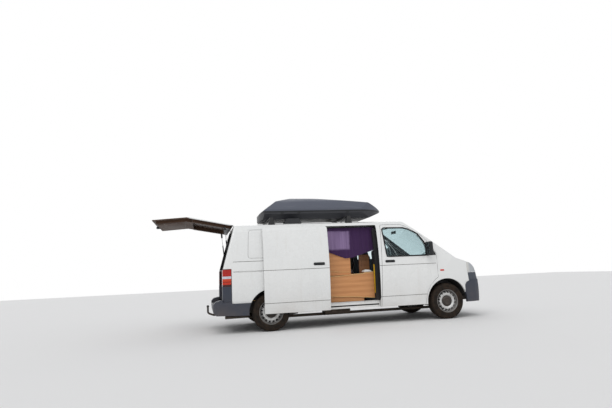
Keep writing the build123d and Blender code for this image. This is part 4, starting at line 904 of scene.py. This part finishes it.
seatLook = {"y": -420, "cushion": (226, (-1120, 6), (-588, 782)), "back": (222, (-1202, 730), (-1098, 1400)),
            "backBolster": (22, (-1130, 840), (-1064, 1290)), "seatBolster": (22, (-1060, 770), (-640, 806)),
            "bolsterOut": 205, "kneeFrom": -640, "kneeLift": 0.012, "lean": 3.5, "leanAt": (-1150, 760)}
seamLook = {"reach": 0.014, "depth": 0.006, "out": 150, "padLow": 0.70, "backX": (-1120, -1060),
            "backZ": (0.98, 1.14, 1.28), "seatX": -800, "seatLow": 0.74}
restLook = {"pad": (125, (-1216, 1428), (-1122, 1600)), "narrowFrom": 1.56, "narrow": (0.8, 0.86, 1),
            "middle": (-1169, 1515), "voxel": 0.008, "cap": 0.008, "stem": ((-1172, 1380), (-1170, 1440)),
            "stemOut": 60, "stemRadius": 0.006}
seatY = seatLook["y"]


def leaned(piece):  # tips a part of the seat's back about its foot
    openWhole(piece)
    x, z = seatLook["leanAt"]
    bpy.ops.transform.rotate(value=math.radians(seatLook["lean"]), orient_axis="Y", center_override=at(x, seatY, z))
    closeMesh()
    return piece


def seatPad():
    half, (rear, lift), top = seatLook["cushion"]
    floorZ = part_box("driver_seat")[0].z * 1000
    cushion = slab("cushion", (half, (rear, floorZ + lift), top), seatY, 0.045, 4)
    knee = at(seatLook["kneeFrom"], 0, 0).x
    shifted(cushion, lambda co, n: co.x > knee, (0, 0, seatLook["kneeLift"]))
    parts = [cushion, leaned(slab("back", seatLook["back"], seatY, 0.046, 4))]
    for k in (-1, 1):
        y = seatY + k * seatLook["bolsterOut"]
        parts.append(leaned(slab("bolster", seatLook["backBolster"], y, 0.02)))
        parts.append(slab("bolster", seatLook["seatBolster"], y, 0.02))
    pad = joinAll("front_seat_pad_right", parts)
    swell(pad, padLook["voxel"], padLook["cap"])
    backFrom, backTo = (at(x, 0, 0).x for x in seamLook["backX"])
    reach = seamLook["reach"]
    lines = [(1, (seatY + k * seamLook["out"]) / 1000, reach, lambda co: co.z > seamLook["padLow"]) for k in (-1, 1)]
    lines += [(2, z, reach, lambda co: backFrom < co.x < backTo) for z in seamLook["backZ"]]
    lines += [(0, at(seamLook["seatX"], 0, 0).x, reach, lambda co: co.z > seamLook["seatLow"])]
    channelled(pad, seamLook["depth"], lines)
    sub = pad.modifiers.new("fine", "SUBSURF")
    sub.levels = sub.render_levels = 1
    bpy.context.view_layer.objects.active = pad
    bpy.ops.object.modifier_apply(modifier="fine")
    return pad


def headRest():
    rest = slab("headrest_right", restLook["pad"], seatY, 0.036, 4)
    x, z = restLook["middle"]
    pick(rest, lambda co, n: co.z > restLook["narrowFrom"])
    bpy.ops.transform.resize(value=restLook["narrow"], center_override=at(x, seatY, z))
    closeMesh()
    swell(rest, restLook["voxel"], restLook["cap"])
    return rest


seatRight, headRight = seatPad(), headRest()
stems = []
for k in (-1, 1):
    line = [at(x, seatY + k * restLook["stemOut"], z) for x, z in restLook["stem"]]
    stems.append(tube("stem", line, restLook["stemRadius"]))
stemRight = joinAll("headrest_stems_right", stems)
for piece, finish in ((seatRight, "seatCloth"), (headRight, "seatSide"), (stemRight, "steel")):
    left = mirrorTo(piece, piece.name.replace("right", "left"))
    for each, node in ((piece, "passenger_seat"), (left, "driver_seat")):
        if finish != "steel":
            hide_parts(node)
        done(each, "body", finish, "seat_cloth" if finish != "steel" else "steel", 60)
print("seats padded")

bedLook = {"inset": 0.012, "lift": 0.002, "lower": 0.014, "waves": (9, 7), "wave": 0.004, "flatBelow": 0.05,
           "pillowInset": (0.010, 0.012), "pillowLift": 0.004, "pillowHalf": (0.085, 0.1), "thin": 0.55, "thinFrom": 0.45,
           "creases": (70, 55), "crease": 0.004}
mattressLow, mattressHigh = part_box("mattress")
inset = bedLook["inset"]
mattress = boxBetween("mattress_cover", mattressLow + Vector((inset, inset, bedLook["lift"])),
                      mattressHigh - Vector((inset, inset, bedLook["lower"])), 0.03)
swell(mattress, 0.016, 0.012)
alongWaves, acrossWaves = bedLook["waves"]
for point in mattress.data.vertices:
    if point.co.z > mattressLow.z + bedLook["flatBelow"]:
        u = (point.co.x - mattressLow.x) * alongWaves
        v = (point.co.y - mattressLow.y) * acrossWaves
        point.co.z += bedLook["wave"] * math.sin(u) * math.sin(v)
    point.co.z = max(point.co.z, mattressLow.z)
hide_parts("mattress")
done(mattress, "body", "bedding", "bedding", 60)

pillowLow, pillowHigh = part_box("pillow")
insetX, insetY = bedLook["pillowInset"]
pillow = boxBetween("pillow_case", pillowLow + Vector((insetX, insetY, bedLook["pillowLift"])),
                    pillowHigh - Vector((insetX, insetY, bedLook["inset"])), 0.02)
middle = (pillowLow + pillowHigh) / 2
swell(pillow, 0.005, 0.012)
halfX, halfY = bedLook["pillowHalf"]
creaseX, creaseY = bedLook["creases"]
for point in pillow.data.vertices:
    away = max(abs(point.co.x - middle.x) / halfX, abs(point.co.y - middle.y) / halfY)
    point.co.z = middle.z + (point.co.z - middle.z) * (1 - bedLook["thin"] * max(0, away - bedLook["thinFrom"]))
    if point.co.z > middle.z:
        point.co.z += bedLook["crease"] * math.sin(point.co.x * creaseX) * math.sin(point.co.y * creaseY)
lowest = min(point.co.z for point in pillow.data.vertices)
for point in pillow.data.vertices:
    point.co.z += pillowLow.z - lowest
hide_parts("pillow")
done(pillow, "body", "pillow", "pillow_cloth", 60)
print("bed made")

# Piping round the mattress cover, laid on its swollen sides
pipeLook = {"height": 0.040, "radius": 0.004, "step": 0.06, "corner": 0.07, "aim": 0.15}
pipe = []
pipeOutline = rounded(corners(mattressLow.x, mattressLow.y, mattressHigh.x, mattressHigh.y), pipeLook["corner"])
aim = pipeLook["aim"]
for x, y in finely(pipeOutline, pipeLook["step"]):
    start = Vector((x, y, mattressHigh.z - pipeLook["height"]))
    target = Vector((held(x, mattressLow.x + aim, mattressHigh.x - aim),
                     held(y, mattressLow.y + aim, mattressHigh.y - aim), start.z))
    way = (target - start).normalized()
    hit, place, normal, face = mattress.ray_cast(start - way * 0.05, way)
    if hit:
        pipe.append(place)
done(tube("mattress_piping", pipe, pipeLook["radius"], True), "body", "seatSide", "bedding")

# Curtain: one hung sheet, gathered a little on its rail
curtainLook = {"front": -1262, "rear": -2500, "top": 1807, "y": -712, "gather": 82, "clear": 3, "folds": 15,
               "fold": (3.4, 1.2), "uneven": (11, 23), "sag": 1.5, "sagWaves": 9,
               "low": [(-2500, 1385), (-2228, 1338), (-1931, 1226), (-1794, 1233), (-1262, 1394)]}


def curtainEdge(x):
    for (xa, za), (xb, zb) in zip(curtainLook["low"], curtainLook["low"][1:]):
        if xa <= x <= xb:
            return za + (zb - za) * (x - xa) / (xb - xa)
    return curtainLook["low"][-1][1]


startOver()
bpy.ops.mesh.primitive_grid_add(x_subdivisions=150, y_subdivisions=50, size=2)
curtain = named("curtain_cloth")
curtainWide = curtainLook["front"] - curtainLook["rear"]
(deep, shallower), (shift, swing) = curtainLook["fold"], curtainLook["uneven"]
for point in curtain.data.vertices:
    u, v = (point.co.x + 1) / 2, (point.co.y + 1) / 2
    lowX = curtainLook["rear"] + u * curtainWide
    topX = curtainLook["rear"] + u * (curtainWide - curtainLook["gather"])
    low = curtainEdge(lowX) + curtainLook["clear"]
    sag = curtainLook["sag"] * (1 - v) * math.sin(u * curtainLook["sagWaves"])
    wave = math.sin(u * math.tau * curtainLook["folds"] + 0.8 * math.sin(u * shift))
    wave *= 0.6 + 0.4 * math.sin(u * swing + 1)
    point.co = at(lowX + (topX - lowX) * v, curtainLook["y"] + wave * (deep - shallower * v) + sag,
                  low + (curtainLook["top"] - low) * v)
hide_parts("curtain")
done(curtain, "body", "curtain", "curtain_cloth", 180)

# Rubber and trim that follow the panels, and thin painted shadow lines round the side pressings
sealLook = {"step": 60, "window": (12, 0.013), "pressing": (0, 0.0022), "leftWindow": (9, 0.009)}
windowOutline = [(-360, 1235), (-1170, 1238), (-1208, 1745), (-1180, 1763), (-790, 1757), (-700, 1728), (-520, 1635),
                 (-410, 1480), (-360, 1300)]
pressing = rounded([(-3790, 1290), (-2720, 1290), (-2720, 1800), (-3760, 1800)], 60)
leftWindow = rounded(corners(-2450, 1400, -1370, 1790), 60)


def grownOut(points, amount):
    count = len(points)
    cx, cz = (sum(p[i] for p in points) / count for i in (0, 1))
    out = []
    for i, (x, z) in enumerate(points):
        ax, az = points[i - 1]
        bx, bz = points[(i + 1) % count]
        tx, tz = bx - ax, bz - az
        length = math.hypot(tx, tz)
        nx, nz = tz / length, -tx / length
        if nx * (x - cx) + nz * (z - cz) < 0:
            nx, nz = -nx, -nz
        out.append((x + nx * amount, z + nz * amount))
    return out


def sealLoop(name, node, outline, look, body, sign, finish="rubber"):
    amount, radius = look
    loop = [onSide(node, x, z, sign) for x, z in grownOut(outline, amount)]
    done(tube(name, found(loop), radius, True), body, finish)


mirrorLook = {"base": ((-345, 1398), (-345, 1228), (-188, 1216), (-190, 1252), (-292, 1418)), "baseThick": 0.008,
              "glass": (955, 1232, 1124, 1454), "glassX": -387.5, "glassCorner": 22, "glassThick": 0.002}
repeaterLook = {"x": -84, "z": 925, "half": (0.040, 0.007, 0.014)}
for side, sign in flanks:
    door = "door_" + side
    window, panel = finely(windowOutline, sealLook["step"]), finely(pressing, sealLook["step"])
    sealLoop("window_seal_" + side, door, window, sealLook["window"], door, sign)
    # a thin grey-brown bead round each side pressing is a painted shadow line
    sealLoop("pressing_edge_" + side, "side_frame_" + side, panel, sealLook["pressing"], "body", sign, "groove")
    cover = [onSide(door, x, z, sign, 0.001) for x, z in mirrorLook["base"]]
    done(plate("mirror_base_" + side, cover, Vector((0, sign * mirrorLook["baseThick"], 0)), 0.002), door)
    glassOutline = rounded(corners(*mirrorLook["glass"]), mirrorLook["glassCorner"])
    pane = [at(mirrorLook["glassX"], sign * y, z) for y, z in glassOutline]
    done(plate("mirror_glass_" + side, pane, Vector((mirrorLook["glassThick"], 0, 0))), door, "mirrorGlass", "glass")
    spot, half = onSide("front_wings", repeaterLook["x"], repeaterLook["z"], sign), Vector(repeaterLook["half"])
    done(boxBetween("side_repeater_" + side, spot - half, spot + half, 0.006), "body", "redLens", "lamp_red")
sealLoop("left_window_seal", "side_frame_left", leftWindow, sealLook["leftWindow"], "body", 1)
print("seals laid")

# Roof ditch strips
ditchLook = {"y": 766, "x": (-3930, -780, 150), "radius": 0.0055}


def onRoof(x, y, lift):
    return onSkin("roof_panel", at(x, y, farTop), down, lift)


for side, sign in flanks:
    line = [onRoof(x, sign * ditchLook["y"], 0.001) for x in range(*ditchLook["x"])]
    done(tube("roof_ditch_strip_" + side, found(line), ditchLook["radius"]), "body", "rubber")

# Roof box: a dark rim strip and latches
rimLine = {"lower": 14, "reach": 0.4995, "steps": 40, "radius": 0.007}
boxBase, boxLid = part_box("roof_box_base"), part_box("roof_box_lid")
rimZ = (boxBase[1].z + boxLid[0].z) * 500 - rimLine["lower"]
rear, front = (fromAxle(corner)[0] for corner in boxBase)
ring = []
for k in range(-rimLine["steps"], rimLine["steps"] + 1):
    x = (rear + front) / 2 + (front - rear) * rimLine["reach"] * math.sin(k / rimLine["steps"] * math.pi / 2)
    ring.append(onSide("roof_box_base", x, rimZ, -1, 0.001))
ring = found(ring)
strip = ring + [acrossMiddle(place) for place in reversed(ring)]
done(tube("roof_box_rim", strip, rimLine["radius"], True))
latchLook = {"places": (-3060, -2728, -1746), "z": 2150, "low": (-0.031, -0.008, -0.022), "high": (0.031, 0.006, 0.024)}
latches = []
for x in latchLook["places"]:
    spot = onSide("roof_box_base", x, latchLook["z"], -1)
    latch = boxBetween("latch", spot + Vector(latchLook["low"]), spot + Vector(latchLook["high"]), 0.006, 2)
    pick(latch, lambda co, n: n.y < -0.9, "faces")
    bpy.ops.mesh.inset(thickness=0.006, depth=-0.003)
    closeMesh()
    latches.append(latch)
done(joinAll("roof_box_latches", latches))

# Braces from the roof bars' feet to the bars
braceLook = {"bars": (-3372, -1900), "foot": (-95, -735), "footLift": 0.004, "bend": (0.02, 0, 0.012),
             "top": ((20, -690, 2010), (45, -660, 2018)), "radius": 0.006}
capLook = {"bars": (-3320, -1834), "half": 23, "y": (692, 704), "z": (2004, 2036)}
braces = []
for x in braceLook["bars"]:
    ahead, y = braceLook["foot"]
    low = onRoof(x + ahead, y, braceLook["footLift"]) or at(x + ahead, y, 1925)
    top = [at(x + dx, dy, z) for dx, dy, z in braceLook["top"]]
    braces.append(tube("brace", [low, low + Vector(braceLook["bend"]), *top], braceLook["radius"]))
braces += [copyOf(piece, "brace", acrossMiddle) for piece in braces]
done(turnedOut(joinAll("bar_braces", braces)), "body", "blackSteel", "steel")
(inner, outer), (low, high), half = capLook["y"], capLook["z"], capLook["half"]
ends = [boxBetween("bar_end", at(x - half, k * inner, low), at(x + half, k * outer, high), 0.004, 2)
        for x in capLook["bars"] for k in (-1, 1)]
done(joinAll("bar_end_caps", ends))
print("roof fitted")


# Load space: natural edges of the boards, end strip, sill plates and step mat
def edgeLine(points, count=24):  # a smooth line through three places
    (xa, za), (xb, zb), (xc, zc) = points
    line = []
    for k in range(count + 1):
        x = xa + (xc - xa) * k / count
        z = (za * (x - xb) * (x - xc) / ((xa - xb) * (xa - xc)) + zb * (x - xa) * (x - xc) / ((xb - xa) * (xb - xc))
             + zc * (x - xa) * (x - xb) / ((xc - xa) * (xc - xb)))
        line.append((x, z + sum(high * math.sin(x / long) for high, long in waneLook["ripples"])))
    return line


waneLook = {"radius": 0.0065, "ripples": ((1.6, 61), (1.1, 23)), "edges": {
    "board_edge_top": (-760, [(-4018, 886), (-2600, 889), (-2000, 903)], [(-2000, 903), (-1700, 925), (-1409, 955)]),
    "board_edge_low": (-760, [(-4018, 540), (-2600, 533), (-2000, 519)], [(-2000, 519), (-1700, 499), (-1409, 471)]),
    "cabinet_edge": (-694.5, [(-2618, 990), (-2190, 985), (-1834, 962)]),
}}
for name, (y, *bends) in waneLook["edges"].items():
    lines = [edgeLine(bend) for bend in bends]
    line = [place for part in lines[:-1] for place in part[:-1]] + lines[-1]
    done(tube(name, [at(x, y, z) for x, z in line], waneLook["radius"]), "body", "wane", "pine")
stepLook = {"strip": ((-1405, -777, 561), (-1352, -764, 1093)), "tip": (0.006, 0.004, 0),
            "plate": ((-2500, -868, 425.5), (-1390, -838, 429)), "ribs": (-832, -818, -804),
            "rib": (4, (-2500, 425.5), (-1400, 428)), "mat": ((-2500, -796, 425.3), (-1420, -770, 429))}
strip = shifted(blockAt("yellow_end_strip", stepLook["strip"], 0.004), lambda co, n: co.z > 1.0, stepLook["tip"])
done(strip, "body", "yellow", "pine")
sills = [blockAt("sill", stepLook["plate"], 0.0015)]
for y in stepLook["ribs"]:
    sills.append(slab("sill", stepLook["rib"], y, 0.001, 2))
done(joinAll("sill_plate", sills), "body", "aluminium", "steel")
done(blockAt("step_mat", stepLook["mat"], 0.0015), "body", "mat", "trim")
print("load space fitted")

# Rear bumper: ribbed tread pad
treadLook = {"x": (-4385, -4290, 22), "half": 540, "wide": 9, "low": 578, "high": 584, "seat": 0.5795}
ribs = []
for x in range(*treadLook["x"]):
    look = (treadLook["half"], (x, treadLook["low"]), (x + treadLook["wide"], treadLook["high"]))
    ribs.append(slab("rib", look, 0, 0.0018, 2))
for rib in ribs:
    place = onSkin("rear_bumper", Vector((rib.data.vertices[0].co.x, 0, 1.0)), down)
    openWhole(rib)
    bpy.ops.transform.translate(value=(0, 0, place.z - treadLook["seat"] if place else 0))
    closeMesh()
done(joinAll("bumper_tread", ribs), "body", "rubber")

# Tailgate lining, catch, blank plate, grip and wiper, drawn where they would be with the tailgate shut
gateLook = {"panel": [(-600, 560), (600, 560), (640, 1050), (-640, 1050)], "panelX": -4168, "panelThick": 0.008,
            "catch": ((-30, -30, -20), (30, 30, 20)), "catchPlace": (-4178, 0, 530),
            "startX": -4200, "away": 0.6, "skinX": -4250, "plate": (-260, 690, 260, 800), "plateThick": 0.003,
            "grip": [(-300, 850), (300, 850), (290, 905), (-290, 905)], "gripThick": 0.018,
            "arm": ((0, 1140), (60, 1205), (150, 1212), (330, 1216)), "blade": ((60, 1210), (250, 1216), (500, 1222))}
tailOut = (raisedAt(-5000, 0, 800) - raisedAt(-4000, 0, 800)).normalized()
panelOutline = [raisedAt(gateLook["panelX"], y, z) for y, z in rounded(gateLook["panel"], 60)]
panel = plate("tailgate_inner_panel", panelOutline, tailOut * gateLook["panelThick"], 0.002)
done(panel, "tailgate", "brownLiningAndShade", "dash")
catch = blockAt("tailgate_catch", gateLook["catch"], 0.006, 3)
offset = raisedAt(*gateLook["catchPlace"]) - at(0, 0, 0)
for point in catch.data.vertices:
    point.co += offset
done(catch, "tailgate")


def onTail(places, lift):  # the tailgate's outer skin, found along its own raised direction
    line = []
    for y, z in places:
        start = raisedAt(gateLook["startX"], y, z) + tailOut * gateLook["away"]
        skins = found(onSkin(node, start, -tailOut, lift) for node in ("tailgate", "tailgate_glass"))
        line.append(skins[0] if skins else raisedAt(gateLook["skinX"], y, z))
    return line


plateOutline = onTail(corners(*gateLook["plate"]), 0.002)
rearPlate = plate("rear_number_plate", plateOutline, tailOut * gateLook["plateThick"], 0.001)
done(rearPlate, "tailgate", "plate", "trim")
gripOutline = onTail(rounded(gateLook["grip"], 20), 0.001)
done(plate("tailgate_grip", gripOutline, tailOut * gateLook["gripThick"], 0.006), "tailgate")
arm = tube("rear_wiper_arm", onTail(gateLook["arm"], 0.016), 0.006)
blade = tube("rear_wiper_blade", onTail(gateLook["blade"], 0.008), 0.005)
done(joinAll("rear_wiper", [arm, blade]), "tailgate")
print("tailgate fitted")


# Windscreen wipers and seal
def onFront(node, y, z, lift=0.0):
    return onSkin(node, at(farFront, y, z), back, lift)


def onScreen(places, lift):
    return found(onFront("fixed_glass", y, z, lift) for y, z in places)


wiperLook = {"sweeps": (((330, 1270), (-180, 1300)), ((-240, 1270), (-700, 1300))), "bow": 10, "armLift": 0.014,
             "bladeFrom": 0.25, "bladeUp": 24, "bladeLift": 0.008}
wipers = []
for (y, z), (endY, endZ) in wiperLook["sweeps"]:
    wide, tall = endY - y, endZ - z
    arm = [(y + wide * k / 6, z + tall * k / 6 + wiperLook["bow"] * math.sin(k / 2)) for k in range(7)]
    blade = [(y + wide * (wiperLook["bladeFrom"] + k / 8), z + wiperLook["bladeUp"] + tall * k / 8) for k in range(7)]
    wipers.append(tube("arm", onScreen(arm, wiperLook["armLift"]), 0.006))
    wipers.append(tube("blade", onScreen(blade, wiperLook["bladeLift"]), 0.005))
done(joinAll("front_wipers", wipers))
screenLook = {"outline": [(-815, 1268), (815, 1268), (727, 1856), (-727, 1856)], "corner": 60, "step": 90,
              "radius": 0.009}
screenEdge = finely(rounded(screenLook["outline"], screenLook["corner"]), screenLook["step"])
done(tube("screen_seal", onScreen(screenEdge, 0), screenLook["radius"], True), "body", "rubber")

# Front bumper: lower air intake, fog lamp covers and a blank plate
intakeLook = {"half": 430, "bars": (610, 640, 670), "posts": (600, 640, 680), "radius": 0.007, "lift": -0.006,
              "plate": (-260, 352, 260, 462), "plateHalf": 3, "plateFront": 894}
fogLook = {"y": 640, "z": 430, "reach": 40, "wide": 0.058, "high": 0.045, "sunk": 0.001, "thick": 0.004, "steps": 24}


def onBumper(y, z, lift=0.0):
    return onFront("front_bumper", y, z, lift)


half, lift = intakeLook["half"], intakeLook["lift"]
rails = [[(y, z) for y in range(-half, half + 1, 43)] for z in intakeLook["bars"]]
rails += [[(y, z) for z in intakeLook["posts"]] for y in (-half, 0, half)]
intake = [tube("bar", [onBumper(y, z, lift) for y, z in rail], intakeLook["radius"]) for rail in rails]
done(joinAll("front_intake_bars", intake))
for side, sign in flanks:
    y, z, reach = fogLook["y"], fogLook["z"], fogLook["reach"]
    spot = onBumper(sign * y, z)
    facing = (onBumper(sign * (y - reach), z) - onBumper(sign * (y + reach), z)).normalized()
    outward = Vector((abs(facing.y), sign * abs(facing.x), 0))
    turns = [math.tau * k / fogLook["steps"] for k in range(fogLook["steps"])]
    ringPoints = [spot + facing * fogLook["wide"] * math.cos(a) + Vector((0, 0, fogLook["high"] * math.sin(a)))
                  - outward * fogLook["sunk"] for a in turns]
    done(plate("fog_lamp_cover_" + side, ringPoints, outward * fogLook["thick"], 0.001))
right, low, left, high = intakeLook["plate"]
plateX, half = min(intakeLook["plateFront"], fromAxle(onBumper(0, (low + high) / 2))[0]), intakeLook["plateHalf"]
frontPlate = blockAt("front_number_plate", ((plateX - half, right, low), (plateX + half, left, high)), 0.0012)
done(frontPlate, "body", "plate", "trim")

# Cab: instrument hood and mirror
cabLook = {"hood": ((-235, 262, 1150), (-70, 538, 1212)), "slopeFrom": -110, "slope": (0, 0, -0.03),
           "mirror": ((-640, -115, 1715), (-618, 115, 1775))}
slopeFrom = at(cabLook["slopeFrom"], 0, 0).x
hood = shifted(blockAt("instrument_hood", cabLook["hood"], 0.03, 4), lambda co, n: co.x > slopeFrom, cabLook["slope"])
done(hood, "body", "dash", "dash")
done(blockAt("cab_mirror", cabLook["mirror"], 0.01, 3))
print("front fitted")


# Clear upper part of each headlamp, up to the bonnet's edge
crownLook = {"from": 470, "to": 790, "columns": 16, "rows": 6, "gap": 0.005, "top": 929, "search": (480, 800, 5),
             "forward": 0.10, "drop": 0.38, "thick": (-0.004, 0, -0.003)}


def crownColumns(sign):  # pairs of places on the lamp and on the bonnet's edge above it
    columns = []
    for k in range(crownLook["columns"] + 1):
        y = sign * (crownLook["from"] + (crownLook["to"] - crownLook["from"]) * k / crownLook["columns"])
        low = onFront("headlamps", y, crownLook["top"])
        edge = found(onSkin("bonnet", at(x, y, 1500), down) for x in range(*crownLook["search"]))
        if low and edge and edge[-1].x < low.x and edge[-1].z > low.z + 0.01:
            columns.append((low, edge[-1] + Vector((crownLook["gap"], 0, -0.4 * crownLook["gap"]))))
    return columns


def lampCrown(side, sign):
    columns = crownColumns(sign)
    startOver()
    bpy.ops.mesh.primitive_grid_add(x_subdivisions=len(columns) - 1, y_subdivisions=crownLook["rows"], size=2)
    crown = named("lamp_crown_" + side)
    for point in crown.data.vertices:
        low, high = columns[round((point.co.x + 1) / 2 * (len(columns) - 1))]
        t = (point.co.y + 1) / 2
        run = low.x - high.x
        bend = Vector((low.x - crownLook["forward"] * run, low.y, high.z - crownLook["drop"] * run))
        point.co = low * (1 - t) ** 2 + bend * 2 * t * (1 - t) + high * t * t
    openWhole(crown)
    bpy.ops.mesh.extrude_region_move(TRANSFORM_OT_translate={"value": crownLook["thick"]})
    faceOut()
    closeMesh()
    print(side, "lamp crown columns", len(columns))
    done(crown, "body", "headLamp", "lamp_clear", 60)


for side, sign in flanks:
    lampCrown(side, sign)


# Stage, light and camera
def stageMaterial(name, colour):
    f = Finish(name, {"Roughness": 0.9, "Specular IOR Level": 0.1})
    shade = f.blend(f.noise(0.6, 3) * 0.3, colour, tinted(colour, 0.96))
    return f.set(Base_Color=shade)


startOver()
bpy.ops.mesh.primitive_plane_add(size=60, location=(0, 0, 0))
floor = named("studio_floor")
floor.data.materials.append(stageMaterial("studio_floor_pale", (0.80, 0.79, 0.78)))

world = bpy.data.worlds.new("studio")
bpy.context.scene.world = world
world.use_nodes = True
tree = world.node_tree
tree.nodes.clear()
kinds = ("OutputWorld", "MixShader", "LightPath", "Background", "Background", "Math", "Math")
out, mix, rays, soft, white, seen, seenToo = (tree.nodes.new("ShaderNode" + kind) for kind in kinds)
seen.operation = seenToo.operation = "MAXIMUM"
for background, colour, strength in ((soft, (0.93, 0.96, 1.0, 1), 0.50), (white, (1, 1, 1, 1), 1.0)):
    background.inputs["Color"].default_value = colour
    background.inputs["Strength"].default_value = strength
for outlet, inlet in ((rays.outputs["Is Camera Ray"], seen.inputs[0]), (rays.outputs["Is Glossy Ray"], seen.inputs[1]),
                      (seen.outputs[0], seenToo.inputs[0]), (rays.outputs["Is Transmission Ray"], seenToo.inputs[1]),
                      (seenToo.outputs[0], mix.inputs[0]), (soft.outputs[0], mix.inputs[1]),
                      (white.outputs[0], mix.inputs[2]), (mix.outputs[0], out.inputs["Surface"])):
    tree.links.new(outlet, inlet)

lampLook = {
    "key": {"place": (-5.0, -8.0, 12.0), "power": 1.25, "spread": 50},
    "fill": {"place": (6.0, -9.0, 3.0), "power": 0.35, "spread": 70},
    "rim": {"place": (1.0, 9.0, 9.0), "power": 0.45, "spread": 60},
}
for name, look in lampLook.items():
    startOver()
    bpy.ops.object.light_add(type="SUN", location=look["place"])
    lamp = bpy.context.object
    lamp.name = name + "_lamp"
    lamp.data.energy = look["power"]
    lamp.data.angle = math.radians(look["spread"])
    lamp.rotation_euler = (Vector((0, 0, 1.0)) - Vector(look["place"])).to_track_quat("-Z", "Y").to_euler()

cameraLook = {"place": (-4576, -9505, 989), "yaw": 0.21623, "pitch": 0.14252, "roll": -0.046477, "focal": 480.0,
              "wide": 612.0, "sensor": 36.0}
yaw, pitch, roll = cameraLook["yaw"], cameraLook["pitch"], cameraLook["roll"]
view = Vector((math.sin(yaw) * math.cos(pitch), math.cos(yaw) * math.cos(pitch), math.sin(pitch)))
level = Vector((math.cos(yaw), -math.sin(yaw), 0))
upright = level.cross(view)
right = level * math.cos(roll) + upright * math.sin(roll)
up = upright * math.cos(roll) - level * math.sin(roll)
camera = bpy.data.objects.new("camera", bpy.data.cameras.new("camera"))
bpy.context.collection.objects.link(camera)
camera.matrix_world = Matrix.Translation(at(*cameraLook["place"])) @ Matrix((right, up, -view)).transposed().to_4x4()
camera.data.sensor_width = cameraLook["sensor"]
camera.data.lens = cameraLook["focal"] / cameraLook["wide"] * cameraLook["sensor"]
camera.data.clip_end = 200
bpy.context.scene.camera = camera
bpy.context.scene.view_settings.view_transform = "Standard"
print("stage set")
